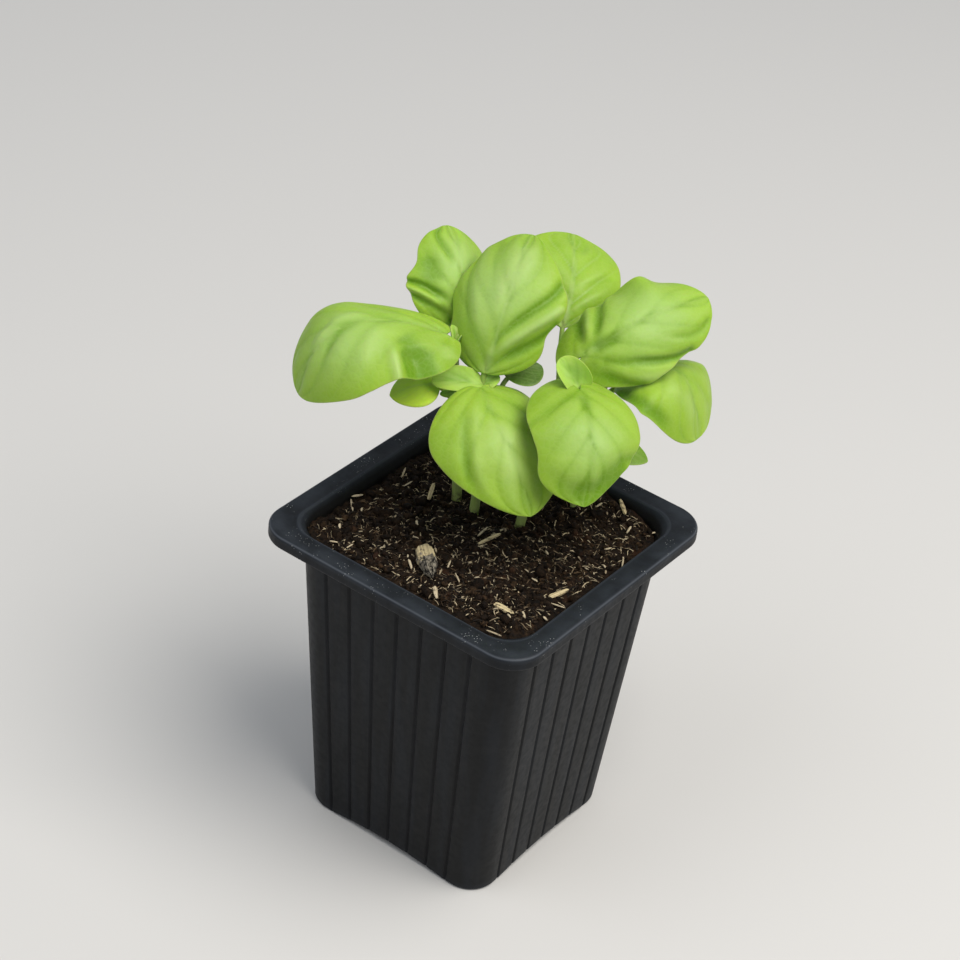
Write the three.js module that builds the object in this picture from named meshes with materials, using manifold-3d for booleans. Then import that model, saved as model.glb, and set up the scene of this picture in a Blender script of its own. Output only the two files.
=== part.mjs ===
// A young basil plant in its square nursery pot: a thin ribbed plastic pot with a turned-down rim,
// a plug of peat with wood chips on it, and four seedlings that rise out of plain holes in the peat.
// Each seedling is one stem with its two tip leaves, and each grown leaf, blade and stalk, is a piece
// of its own. Millimetres, +Z up, origin at the middle of the pot's foot.

import * as THREE from 'three';
import { mergeVertices } from 'three/addons/utils/BufferGeometryUtils.js';
import Module from 'manifold-3d';

const wasm = await Module();
wasm.setup();

// ---------------------------------------------------------------- driving dimensions

const POT = {
  height: 88,
  rimHalf: 40, // half the width across the rim
  rimCorner: 9,
  topHalf: 33.8, // half the width of the body just under the rim
  topCorner: 9,
  footHalf: 28.1,
  wall: 1.2,
  floorTop: 3.5,
  lipDepth: 3.4, // how far the rim's lip turns down
  lipWall: 1.3,
  lipRound: 0.9,
  mouthHalf: 34.2, // half the width of the mouth at the rim's top
  cornerSteps: 5, // facets in each round corner
  roundSteps: 2, // and in the rim's rounded edge
};
const GROOVE = { perSide: 7, pitch: 0.22, width: 1.3, depth: 0.6, top: 79 };
const FOOT_ARCH = { half: 18, rise: 1.3, reach: 12, steps: 8 }; // under the middle of each side of the foot
const DRAIN = { radius: 3.5, spread: 14, sides: 12 };
const SOIL = { level: 84.4, gap: 0.3, depth: 14, cells: 20 }; // depth of the lumpy top, its cells a side
const LUMPS = { count: 90, seed: 11, least: 2, spread: 5, rise: 1.1, sunk: 0.35 }; // sunk: share below level
const HEAPS = [
  { at: [22, -30], reach: 20, rise: 2 },
  { at: [14, 32], reach: 9, rise: 2.2 },
  { at: [33, 33], reach: 9, rise: -2.4 },
  { at: [-33, 5], reach: 14, rise: -1.4 },
];
const STEM = { footRadius: 1.35, tipRadius: 0.95, sides: 8, steps: 10, buried: 16, clearance: 0.3 };
const BLADE = {
  thickness: 0.8,
  grid: [13, 8], // rings from foot to tip, and strips across
  smallGrid: [8, 4],
  smallWidth: 15, // a blade narrower than this has the small grid
  endHalf: 0.5, // half the width of its cut-off foot and tip
  veins: 4, // side veins in each half
  veinSlant: 1.6,
  puff: 0.7,
  channel: 0.5,
  channelWidth: 1.6,
  reliefWidth: 30, // the width of a blade whose puffs and channel have their full height
  fullHalf: 6, // the half width below which they grow flatter towards foot and tip
  lobeBend: 1.5, // powers that shape the two lobes, outward from the midrib
  lobeFade: 6, // and forward from the foot
};
const STALK = {
  radius: 0.75,
  flare: 1.15, // its radius at the stem, and under the blade, as a share
  taper: 0.8,
  sink: 0.6, // how far its end lies under the midrib, as a share of its radius
  lean: 0.4, // how far it runs straight at each end, as a share of its length
  lift: 0.15,
  sides: 6,
  steps: 5,
  reach: 0.14, // where it ends, as a share of the blade's length
};

const GREEN = 0x8fc23c;
const STEM_GREEN = 0x8fae4a;
const PEAT = 0x2a1c14;
const BLACK = 0x24272b;
const WOOD = 0xb9966a;

// Seedlings: where each stem stands in the peat, where its top is, and how far it bows in between.
const SEEDLINGS = {
  left: { foot: [-15.4, 8.7], top: [-17.6, 4.6, 129.5], bow: [-1, 1] },
  centre: { foot: [-7.8, 5.9], top: [-8.2, 5.6, 122], bow: [1, 0] },
  right: { foot: [3.8, 9.5], top: [11.2, 17.2, 125], bow: [-1.5, 0] },
  back: { foot: [9.5, 24], top: [10.5, 29, 122.5], bow: [-1, 1] },
};

// A leaf: the stem it grows on, the height on the stem where its stalk leaves, the blade's foot and
// tip, its greatest width, how high its midrib arches and at what share of its length, how far it
// rolls about the line from foot to tip and how much further it twists along that line, how far its
// margins turn down over half the width (all in degrees), how far its two lobes reach back past the
// foot, and two powers that say how blunt its foot and its tip are.
const LEAVES = {
  leaf_left: {
    on: 'left', from: 127.5, foot: [-19.1, 2.4, 132.4], tip: [-41.2, -24.7, 118.1],
    width: 30.3, arch: 12.4, peak: 0.61, roll: -19, twist: -21, cup: 35,
    lobe: 2.6, blunt: [0.45, 0.53],
  },
  leaf_back_left: {
    on: 'left', from: 128, foot: [-24.5, 12.1, 127], tip: [-36.6, 23.3, 146.3],
    width: 28.5, arch: 5.4, peak: 0.45, roll: 24, twist: -3, cup: 57,
    lobe: 0.4, blunt: [0.44, 0.64],
  },
  leaf_centre: {
    on: 'centre', from: 120, foot: [-8.3, 6.2, 126.6], tip: [-15.1, 28.7, 150.6],
    width: 31.3, arch: 6.4, peak: 0.5, roll: -4, twist: -8, cup: 57,
    lobe: 0.4, blunt: [0.54, 0.55],
  },
  leaf_front_left: {
    on: 'centre', from: 119, foot: [-7.6, 2.6, 122.4], tip: [17.7, -8.1, 103.2],
    width: 36, arch: 5, peak: 0.43, roll: 1, twist: 12, cup: 47,
    lobe: 1.6, blunt: [0.47, 0.65],
  },
  leaf_front_right: {
    on: 'right', from: 122.5, foot: [12.3, 14.6, 127.2], tip: [28.4, -2.4, 108.6],
    width: 30.8, arch: 7.6, peak: 0.45, roll: -7, twist: -4, cup: 40,
    lobe: 4.3, blunt: [0.45, 0.62],
  },
  leaf_back_right: {
    on: 'right', from: 113, foot: [-4.2, 29.8, 128.6], tip: [-17.1, 49.5, 141.6],
    width: 29.4, arch: 3.3, peak: 0.48, roll: 7, twist: 10, cup: 29,
    lobe: -1, blunt: [0.49, 0.56],
  },
  leaf_right: {
    on: 'back', from: 119.5, foot: [7.1, 22.2, 129.1], tip: [21.9, 52.2, 139.3],
    width: 30.5, arch: 5.1, peak: 0.41, roll: 27, twist: -2, cup: 63,
    lobe: 6.8, blunt: [0.45, 0.61],
  },
  leaf_right_low: {
    on: 'back', from: 115, foot: [10.3, 36.1, 116.5], tip: [32.8, 38.5, 110.1],
    width: 31.6, arch: 11.3, peak: 0.48, roll: -3, twist: 7, cup: 26,
    lobe: 0, blunt: [0.49, 0.41],
  },
  seed_leaf_left: {
    on: 'left', from: 113, foot: [-17.5, -0.4, 119.9], tip: [-25.9, -8.5, 116.7],
    width: 13, arch: 1.3, peak: 0.45, roll: -11, twist: 0, cup: 14,
    lobe: 0, blunt: [0.5, 0.65],
  },
  seed_leaf_centre: {
    on: 'centre', from: 112, foot: [-6.3, 11.1, 122.1], tip: [-2.8, 20.4, 122.7],
    width: 12, arch: 1.2, peak: 0.45, roll: 4, twist: 0, cup: 18,
    lobe: 0, blunt: [0.5, 0.63],
  },
  seed_leaf_right: {
    on: 'right', from: 108, foot: [15.1, 15.5, 113.9], tip: [30.1, 20.9, 110.6],
    width: 11.5, arch: 1, peak: 0.45, roll: 5, twist: 6, cup: 20,
    lobe: 0, blunt: [0.5, 0.65],
  },
};

// The youngest leaves, a pair at each stem's top: the tip of each, and its width.
const YOUNG = {
  left: [{ tip: [-18.8, 6.8, 133.2], width: 3 }, { tip: [-17.2, 2.6, 133.4], width: 3 }],
  centre: [{ tip: [-17.4, -2.6, 123.6], width: 8.2 }, { tip: [-13.4, -1.4, 120.4], width: 5 }],
  right: [{ tip: [6, 14.6, 130.6], width: 7.6 }, { tip: [12.6, 20.6, 130.5], width: 4 }],
  back: [{ tip: [12.6, 32, 126.4], width: 3.6 }, { tip: [7.6, 30.6, 126], width: 3.6 }],
};
const YOUNG_DROP = 0.8; // how far below the stem's top they grow out of it
const YOUNG_SHAPE = { arch: 1.3, peak: 0.5, roll: 0, twist: 0, cup: 60, lobe: 0, blunt: [0.5, 0.6] };

// Wood chips on the peat: where each lies, its length, width and thickness, its heading in degrees
// and how far its middle lies above the peat.
const CHIPS = {
  bark_chip: { at: [-3.1, -17.4], size: [9.5, 5.5, 2.4], heading: -37, rise: 0.6 },
  wood_sliver_centre: { at: [3.2, -1.6], size: [6, 1.6, 1], heading: 80, rise: 0.4 },
  wood_chip_front: { at: [22.3, -21.3], size: [4.4, 2.4, 1.2], heading: 5, rise: 0.4 },
  wood_chip_right: { at: [26.9, -6.4], size: [5.4, 2.2, 1.1], heading: 68, rise: 0.4 },
  wood_sliver_back: { at: [18.9, 29.5], size: [6.4, 1.6, 1], heading: -40, rise: 0.4 },
  wood_sliver_left: { at: [-21.6, 6.6], size: [7, 1.6, 1], heading: -59, rise: 0.4 },
};

// A chip's outline with its slanting ends, in shares of its length and width.
const CHIP_OUTLINE = [[-0.5, -0.3], [0.35, -0.5], [0.5, 0.1], [0.2, 0.5], [-0.42, 0.35]];

const UPWARD = new THREE.Vector3(0, 0, 1);

// ---------------------------------------------------------------- small helpers

// A seeded stream of numbers from 0 to 1, so that every build is the same.
function seeded(seed) {
  let state = seed >>> 0;
  return () => {
    state = (state + 0x6d2b79f5) >>> 0;
    let t = state;
    t = Math.imul(t ^ (t >>> 15), t | 1);
    t ^= t + Math.imul(t ^ (t >>> 7), t | 61);
    return ((t ^ (t >>> 14)) >>> 0) / 4294967296;
  };
}

// A closed geometry as a solid that can be cut and joined.
function solid(geometry) {
  const bare = geometry.clone();
  bare.deleteAttribute('normal');
  bare.deleteAttribute('uv');
  const merged = mergeVertices(bare, 1e-4);
  return new wasm.Manifold(new wasm.Mesh({
    numProp: 3,
    vertProperties: merged.attributes.position.array,
    triVerts: new Uint32Array(merged.index.array),
  }));
}

// A solid as a named mesh with its material.
function mesh(name, body, colour, roughness) {
  const { vertProperties, triVerts } = body.getMesh();
  const geometry = new THREE.BufferGeometry();
  geometry.setAttribute('position', new THREE.BufferAttribute(vertProperties, 3));
  geometry.setIndex(new THREE.BufferAttribute(triVerts, 1));
  geometry.computeVertexNormals();
  const made = new THREE.Mesh(
    geometry,
    new THREE.MeshStandardMaterial({ color: colour, roughness, metalness: 0, flatShading: true }),
  );
  made.name = name;
  return made;
}

// Moves every vertex of a geometry.
function bend(geometry, move) {
  const place = geometry.attributes.position;
  const point = new THREE.Vector3();
  for (let i = 0; i < place.count; i += 1) {
    point.fromBufferAttribute(place, i);
    move(point);
    place.setXYZ(i, point.x, point.y, point.z);
  }
  return geometry;
}

// A closed skin over rings of points, each ring with the same count, capped at both ends by fans.
function skin(rings) {
  const count = rings[0].length;
  const points = rings.flat();
  const faces = [];
  for (let i = 0; i + 1 < rings.length; i += 1) {
    for (let j = 0; j < count; j += 1) {
      const a = i * count + j;
      const b = i * count + (j + 1) % count;
      faces.push(a, b, b + count, a, b + count, a + count);
    }
  }
  const last = (rings.length - 1) * count;
  for (let j = 1; j + 1 < count; j += 1) {
    faces.push(0, j + 1, j);
    faces.push(last, last + j, last + j + 1);
  }
  return new THREE.BufferGeometry().setFromPoints(points).setIndex(faces);
}

// A round tube along a curve, with a radius that changes from end to end.
function tube(curve, fromRadius, toRadius, sides, steps) {
  const { tangents, normals, binormals } = curve.computeFrenetFrames(steps, false);
  const rings = tangents.map((_, i) => {
    const centre = curve.getPointAt(i / steps);
    const radius = THREE.MathUtils.lerp(fromRadius, toRadius, i / steps);
    return Array.from({ length: sides }, (_unused, j) => {
      const angle = (2 * Math.PI * j) / sides;
      return centre.clone()
        .addScaledVector(normals[i], radius * Math.cos(angle))
        .addScaledVector(binormals[i], radius * Math.sin(angle));
    });
  });
  return skin(rings);
}

// ---------------------------------------------------------------- the pot

// A square with round corners, as a shape, with grooves nicked into its four sides if any are given.
function squareShape(half, corner, groove = null) {
  const shape = new THREE.Shape();
  const flat = half - corner;
  for (let side = 0; side < 4; side += 1) {
    const turn = (side * Math.PI) / 2;
    const place = (along, out) => [
      out * Math.cos(turn) - along * Math.sin(turn),
      out * Math.sin(turn) + along * Math.cos(turn),
    ];
    if (side === 0) shape.moveTo(...place(-flat, half));
    for (let k = 0; groove && k < groove.perSide; k += 1) {
      const middle = (k - (groove.perSide - 1) / 2) * groove.pitch * half;
      shape.lineTo(...place(middle - groove.width / 2, half));
      shape.lineTo(...place(middle, half - groove.depth));
      shape.lineTo(...place(middle + groove.width / 2, half));
    }
    shape.lineTo(...place(flat, half));
    shape.absarc(...place(flat, flat), corner, turn, turn + Math.PI / 2, false);
  }
  return shape;
}

// A prism of the pot's square section between two heights, drawn in or out to a half width at each.
function sectionPrism(from, to, halfAt, groove = null) {
  const prism = new THREE.ExtrudeGeometry(squareShape(POT.topHalf, POT.topCorner, groove), {
    depth: to - from, bevelEnabled: false, curveSegments: POT.cornerSteps,
  }).translate(0, 0, from);
  return solid(bend(prism, (p) => {
    const scale = halfAt(p.z) / POT.topHalf;
    p.x *= scale;
    p.y *= scale;
  }));
}

const SHOULDER = POT.height - POT.lipDepth;

// The half width of the pot's body at a height.
const bodyHalf = (z) => THREE.MathUtils.mapLinear(z, 0, SHOULDER, POT.footHalf, POT.topHalf);

// The half width of the hollow above the shoulder, where it flares out to the mouth.
function throatHalf(z) {
  const low = bodyHalf(SHOULDER) - POT.wall;
  return THREE.MathUtils.mapLinear(z, SHOULDER, POT.height, low, POT.mouthHalf);
}

// The hollow, drawn in all round by a gap, from a height up to above the mouth.
function hollow(from, gap) {
  const above = POT.height + 2;
  return sectionPrism(from, SHOULDER, (z) => bodyHalf(z) - POT.wall - gap)
    .add(sectionPrism(SHOULDER, above, (z) => throatHalf(z) - gap));
}

function potBody() {
  return sectionPrism(0, GROOVE.top, bodyHalf, GROOVE)
    .add(sectionPrism(GROOVE.top, SHOULDER, bodyHalf))
    .add(sectionPrism(SHOULDER, POT.height - POT.lipWall, () => POT.topHalf));
}

// The rim: a flat flange with a rounded outer edge, hollow beneath behind its turned-down lip.
function potRim() {
  const round = POT.lipRound;
  const flange = new THREE.ExtrudeGeometry(squareShape(POT.rimHalf - round, POT.rimCorner - round), {
    depth: POT.lipDepth - round, bevelEnabled: true, bevelThickness: round, bevelSize: round,
    bevelSegments: POT.roundSteps, curveSegments: POT.cornerSteps,
  }).translate(0, 0, SHOULDER);
  const below = new THREE.BoxGeometry(3 * POT.rimHalf, 3 * POT.rimHalf, 10).translate(0, 0, SHOULDER - 5);
  const inner = squareShape(POT.rimHalf - POT.lipWall, POT.rimCorner - POT.lipWall);
  const under = new THREE.ExtrudeGeometry(inner, {
    depth: POT.lipDepth - POT.lipWall + 1, bevelEnabled: false, curveSegments: POT.cornerSteps,
  }).translate(0, 0, SHOULDER - 1);
  return solid(flange).subtract(solid(below)).subtract(solid(under));
}

// The shallow arch under one side of the foot, which leaves the pot standing on its corners.
function footArch(turn) {
  const { half, rise, reach, steps } = FOOT_ARCH;
  const shape = new THREE.Shape().moveTo(-half, -1);
  shape.lineTo(-half, 0);
  shape.quadraticCurveTo(0, 2 * rise, half, 0);
  shape.lineTo(half, -1);
  return solid(new THREE.ExtrudeGeometry(shape, { depth: reach, bevelEnabled: false, curveSegments: steps })
    .rotateX(Math.PI / 2)
    .translate(0, POT.footHalf + 1, 0)
    .rotateZ(turn));
}

function pot() {
  let body = potBody().add(potRim()).subtract(hollow(POT.floorTop, 0));
  for (let side = 0; side < 4; side += 1) {
    const turn = (side * Math.PI) / 2;
    const hole = new THREE.CylinderGeometry(DRAIN.radius, DRAIN.radius, 3 * POT.floorTop, DRAIN.sides)
      .rotateX(Math.PI / 2)
      .translate(DRAIN.spread, 0, 0)
      .rotateZ(turn + Math.PI / 4);
    body = body.subtract(footArch(turn)).subtract(solid(hole));
  }
  return body;
}

// ---------------------------------------------------------------- stems

// A seedling's stem as a curve from its buried foot to the pair of leaves at its top.
function stemCurve({ foot, top, bow }) {
  const ground = SOIL.level;
  const [fx, fy] = foot;
  const [tx, ty, tz] = top;
  return new THREE.CatmullRomCurve3([
    new THREE.Vector3(fx, fy, ground - STEM.buried),
    new THREE.Vector3(fx, fy, ground),
    new THREE.Vector3((fx + tx) / 2 + bow[0], (fy + ty) / 2 + bow[1], (ground + tz) / 2),
    new THREE.Vector3(tx, ty, tz),
  ]);
}

const STEM_CURVES = Object.fromEntries(
  Object.entries(SEEDLINGS).map(([name, seedling]) => [name, stemCurve(seedling)]),
);

// A stem, or with extra above 0 the room that it needs.
function stemTube(name, extra = 0) {
  const { footRadius, tipRadius, sides, steps } = STEM;
  return solid(tube(STEM_CURVES[name], footRadius + extra, tipRadius + extra, sides, steps));
}

// The point of a stem at a height.
function stemPoint(name, height) {
  const curve = STEM_CURVES[name];
  let low = 0;
  let high = 1;
  for (let i = 0; i < 30; i += 1) {
    const middle = (low + high) / 2;
    if (curve.getPointAt(middle).z < height) low = middle;
    else high = middle;
  }
  return curve.getPointAt(low);
}

// ---------------------------------------------------------------- leaves

// A blade's half width at a share u of its length, as a share of its greatest half width.
function outline(u, [foot, tip]) {
  const peak = foot / (foot + tip);
  return (u ** foot * (1 - u) ** tip) / (peak ** foot * (1 - peak) ** tip);
}

// The midrib at a share u of the blade's length: its place, its direction, sideways and outward.
function midrib(leaf, u) {
  const foot = new THREE.Vector3(...leaf.foot);
  const tip = new THREE.Vector3(...leaf.tip);
  const chord = tip.clone().sub(foot);
  const along = chord.clone().normalize();
  const upright = UPWARD.clone().addScaledVector(along, -along.z).normalize();
  const roll = THREE.MathUtils.degToRad(leaf.roll);
  const twist = THREE.MathUtils.degToRad(leaf.twist) * (u - 0.5);
  const up = upright.clone().applyAxisAngle(along, roll);
  const crest = foot.clone().addScaledVector(chord, leaf.peak).addScaledVector(up, 2 * leaf.arch);
  const curve = new THREE.QuadraticBezierCurve3(foot, crest, tip);
  const tangent = curve.getTangent(u);
  const side = along.clone().cross(upright.clone().applyAxisAngle(along, roll + twist));
  side.addScaledVector(tangent, -side.dot(tangent)).normalize();
  return { place: curve.getPoint(u), tangent, side, out: side.clone().cross(tangent) };
}

// A point of the blade, lifted off its middle surface: u runs from foot to tip, v from margin to
// margin. The margins turn down, the tissue is puffed up between the side veins, and the midrib lies
// in a channel.
function bladePoint(leaf, u, v, lift) {
  const { place, tangent, side, out } = midrib(leaf, u);
  const half = Math.max(BLADE.endHalf, (leaf.width / 2) * outline(u, leaf.blunt));
  const curl = THREE.MathUtils.degToRad(leaf.cup) / (leaf.width / 2);
  const turn = v * half * curl;
  const inward = Math.min(1, half / BLADE.fullHalf);
  const phase = BLADE.veins * u - BLADE.veinSlant * Math.abs(v);
  const puffed = Math.abs(Math.sin(Math.PI * phase)) * (1 - v ** 4);
  const channel = Math.exp(-(((v * half) / BLADE.channelWidth) ** 2));
  const relief = BLADE.puff * puffed - BLADE.channel * channel;
  const rise = lift + (leaf.width / BLADE.reliefWidth) * inward * relief;
  const across = Math.sin(turn) / curl + rise * Math.sin(turn);
  const height = (Math.cos(turn) - 1) / curl + rise * Math.cos(turn);
  const back = leaf.lobe * Math.abs(v) ** BLADE.lobeBend * (1 - u) ** BLADE.lobeFade;
  return place.addScaledVector(side, across).addScaledVector(out, height).addScaledVector(tangent, -back);
}

// A blade: rings of points round its two faces, from foot to tip. Both faces are split into
// triangles alike, so that they never cross.
function blade(leaf, thickness = BLADE.thickness) {
  const [stations, across] = leaf.width < BLADE.smallWidth ? BLADE.smallGrid : BLADE.grid;
  const rings = Array.from({ length: stations }, (_, i) => {
    const u = (1 - Math.cos((Math.PI * i) / (stations - 1))) / 2;
    const shares = Array.from({ length: across + 1 }, (_unused, j) => (2 * j) / across - 1);
    const upper = shares.map((v) => bladePoint(leaf, u, v, thickness / 2));
    const lower = shares.map((v) => bladePoint(leaf, u, v, -thickness / 2)).reverse();
    return [...upper, ...lower];
  });
  const count = rings[0].length;
  const last = (stations - 1) * count;
  const faces = [];
  for (let i = 0; i + 1 < stations; i += 1) {
    for (let j = 0; j < count; j += 1) {
      const a = i * count + j;
      const b = i * count + (j + 1) % count;
      if (j <= across) faces.push(a, b, b + count, a, b + count, a + count);
      else faces.push(a, b, a + count, b, b + count, a + count);
    }
  }
  for (let j = 0; j < across; j += 1) {
    const opposite = count - 1 - j;
    faces.push(j, opposite - 1, j + 1, j, opposite, opposite - 1);
    faces.push(last + j, last + j + 1, last + opposite - 1, last + j, last + opposite - 1, last + opposite);
  }
  return new THREE.BufferGeometry().setFromPoints(rings.flat()).setIndex(faces);
}

// The leaf's stalk, from the stem to a little way under the blade's midrib.
function stalk(leaf) {
  const start = stemPoint(leaf.on, leaf.from);
  const { place, tangent, out } = midrib(leaf, STALK.reach);
  const end = place.clone().addScaledVector(out, -STALK.radius * STALK.sink);
  const foot = new THREE.Vector3(...leaf.foot);
  const away = foot.clone().sub(start).setZ(0).normalize();
  const length = foot.distanceTo(start);
  const curve = new THREE.CubicBezierCurve3(
    start,
    start.clone().addScaledVector(away, length * STALK.lean).addScaledVector(UPWARD, length * STALK.lift),
    end.clone().addScaledVector(tangent, -length * STALK.lean),
    end,
  );
  const { radius, flare, taper, sides, steps } = STALK;
  return solid(tube(curve, radius * flare, radius * taper, sides, steps));
}

// A whole stem with its pair of young leaves grown into its top, or with extra above 0 the room
// that it needs.
function stemSolid(name, extra = 0) {
  const [x, y, z] = SEEDLINGS[name].top;
  const pair = YOUNG[name].map(({ tip, width }) => solid(blade(
    { ...YOUNG_SHAPE, tip, width: width + 2 * extra, foot: [x, y, z - YOUNG_DROP] },
    BLADE.thickness + 2 * extra,
  )));
  return pair.reduce((whole, leaf) => whole.add(leaf), stemTube(name, extra));
}

// A leaf: blade and stalk grown together, trimmed clear of the stem.
function leafSolid(leaf) {
  const body = solid(blade(leaf)).add(stalk(leaf)).subtract(stemSolid(leaf.on, STEM.clearance));
  const [largest] = body.decompose().sort((a, b) => b.volume() - a.volume());
  return largest;
}

// ---------------------------------------------------------------- peat and chips

// The peat's lumps, scattered by a seeded draw.
function scatterLumps() {
  const random = seeded(LUMPS.seed);
  return Array.from({ length: LUMPS.count }, () => ({
    at: [(random() - 0.5) * 2 * POT.mouthHalf, (random() - 0.5) * 2 * POT.mouthHalf],
    reach: LUMPS.least + LUMPS.spread * random(),
    rise: LUMPS.rise * (random() - LUMPS.sunk),
  }));
}

const RISES = [...HEAPS, ...scatterLumps()];

// The peat's height at a point: its level with every heap, hollow and lump added.
function peatHeight(x, y) {
  return RISES.reduce((height, { at, reach, rise }) => {
    const far = ((x - at[0]) ** 2 + (y - at[1]) ** 2) / reach ** 2;
    return height + rise * Math.exp(-far);
  }, SOIL.level);
}

// A chip: a flat splinter with slanting ends, or with extra above 0 the room that it needs.
function chip({ at, size, heading, rise }, extra = 0) {
  const [length, width, thick] = size.map((side) => side + 2 * extra);
  const shape = new THREE.Shape(CHIP_OUTLINE.map(([x, y]) => new THREE.Vector2(x * length, y * width)));
  const [x, y] = at;
  return solid(new THREE.ExtrudeGeometry(shape, { depth: thick, bevelEnabled: false })
    .translate(0, 0, -thick / 2)
    .rotateZ(THREE.MathUtils.degToRad(heading))
    .translate(x, y, peatHeight(x, y) + rise));
}

// The peat: the hollow's filling under a lumpy top, with a plain hole for each stem and a pocket for
// each chip.
function soil() {
  const width = 2 * POT.mouthHalf + 4;
  const top = new THREE.BoxGeometry(width, width, SOIL.depth, SOIL.cells, SOIL.cells, 1)
    .translate(0, 0, SOIL.level - SOIL.depth / 2);
  bend(top, (p) => {
    if (p.z > SOIL.level - SOIL.depth / 2) p.z = peatHeight(p.x, p.y);
  });
  const deep = SOIL.level - SOIL.depth / 2;
  const below = new THREE.BoxGeometry(width, width, deep).translate(0, 0, deep / 2);
  let body = hollow(POT.floorTop + SOIL.gap, SOIL.gap).intersect(solid(top).add(solid(below)));
  for (const name of Object.keys(SEEDLINGS)) body = body.subtract(stemTube(name, STEM.clearance));
  for (const piece of Object.values(CHIPS)) body = body.subtract(chip(piece, SOIL.gap));
  const [largest] = body.decompose().sort((a, b) => b.volume() - a.volume());
  return largest;
}

// ---------------------------------------------------------------- the whole plant

const plant = new THREE.Group();
plant.add(mesh('pot', pot(), BLACK, 0.5), mesh('soil', soil(), PEAT, 0.95));
for (const [name, piece] of Object.entries(CHIPS)) plant.add(mesh(name, chip(piece), WOOD, 0.85));
for (const name of Object.keys(SEEDLINGS)) plant.add(mesh(`stem_${name}`, stemSolid(name), STEM_GREEN, 0.5));
for (const [name, leaf] of Object.entries(LEAVES)) plant.add(mesh(name, leafSolid(leaf), GREEN, 0.42));

export default plant;
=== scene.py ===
"""A young basil plant in its square nursery pot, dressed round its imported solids.

Every piece is made again here as a fine mesh with its own node material, in the solids' own frame,
and stands for its solid. Sizes are in millimetres, as a grower would draw them; MM turns them into
the scene's metres when a mesh is made.
"""

import logging
import math
from dataclasses import dataclass, field
from enum import Enum
from typing import Iterable, Sequence

import bmesh
import bpy
import numpy as np
from mathutils import Matrix, Vector


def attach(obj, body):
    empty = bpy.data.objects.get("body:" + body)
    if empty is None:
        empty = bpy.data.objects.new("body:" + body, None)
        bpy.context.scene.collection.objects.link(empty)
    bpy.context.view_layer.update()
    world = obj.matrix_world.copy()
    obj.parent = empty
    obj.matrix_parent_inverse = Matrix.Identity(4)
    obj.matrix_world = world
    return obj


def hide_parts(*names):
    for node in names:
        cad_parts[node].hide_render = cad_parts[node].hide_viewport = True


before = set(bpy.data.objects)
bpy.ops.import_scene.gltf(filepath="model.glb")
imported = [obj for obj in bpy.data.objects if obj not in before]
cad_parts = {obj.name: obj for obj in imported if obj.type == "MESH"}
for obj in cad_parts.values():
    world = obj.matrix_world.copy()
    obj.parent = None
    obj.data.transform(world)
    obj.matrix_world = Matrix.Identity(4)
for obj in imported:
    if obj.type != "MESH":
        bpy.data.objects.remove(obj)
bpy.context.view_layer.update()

MM = 0.001
TINY = 1e-12
UP = np.array([0.0, 0.0, 1.0])
ALONG_X = np.array([1.0, 0.0, 0.0])

Array = np.ndarray
Span = tuple[float, float]
Point = tuple[float, float, float]
Colour = tuple[float, float, float]
Socket = bpy.types.NodeSocket

log = logging.getLogger("basil")


class Slot(Enum):
    """The finishes that the record names."""

    PLASTIC = "pot_plastic"
    PEAT = "peat"
    WOOD = "wood_chip"
    STEM = "stem"
    LEAF = "leaf"
    SEED_LEAF = "seed_leaf"


# ------------------------------------------------------------------ numbers that look random

# Large odd numbers that mix a cell's place and a seed, and the bits that are kept of the result.
CELL_MIXERS = np.array([374761393, 668265263, 2246822519], np.uint64)
SEED_MIXER = 3266489917
STREAM_STEP = 0x6D2B79F5
WORD = 0xFFFFFFFF
LOW_BITS = 0xFFFFF

# Where the fields start, so that every cell's place is above 0.
FIELD_START = 4096.5
CRUMB_START = 512.0


def hashed(cell: Array, seed: int) -> Array:
    """Gives each whole-numbered cell its own repeatable number.

    Args:
        cell: Whole numbers, three for each cell in the last axis.
        seed: Picks one field of numbers out of many.

    Returns:
        One number from 0 to 1 for each cell.
    """
    word, mixer = np.uint64(WORD), CELL_MIXERS[-1]
    mixed = (cell.astype(np.uint64) * CELL_MIXERS).sum(-1)
    mixed = (mixed + np.uint64(seed * SEED_MIXER & WORD)) & word
    for shift in (15, 13):
        mixed = ((mixed ^ (mixed >> np.uint64(shift))) * mixer) & word
    return ((mixed ^ (mixed >> np.uint64(16))) & np.uint64(LOW_BITS)).astype(float) / LOW_BITS


def rough(points: Array, size: float, seed: int = 0, octaves: int = 1) -> Array:
    """Reads a smooth random field at some points.

    Args:
        points: Points in millimetres, in the last axis.
        size: How far apart the field's bumps lie.
        seed: Picks the field.
        octaves: How many finer fields are added, each half as big and half as strong.

    Returns:
        Heights from about -1 to 1.
    """
    total = np.zeros(points.shape[:-1])
    for octave in range(octaves):
        scaled = points * (2**octave / size) + FIELD_START
        low = np.floor(scaled)
        share = scaled - low
        fade = share * share * share * (share * (share * 6 - 15) + 10)
        value = np.zeros(points.shape[:-1])
        for corner in np.ndindex(2, 2, 2):
            weight = np.where(np.array(corner) == 1, fade, 1 - fade).prod(-1)
            value += weight * hashed(low + corner, seed + 17 * octave)
        total += (2 * value - 1) * 0.5**octave
    return total


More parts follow.
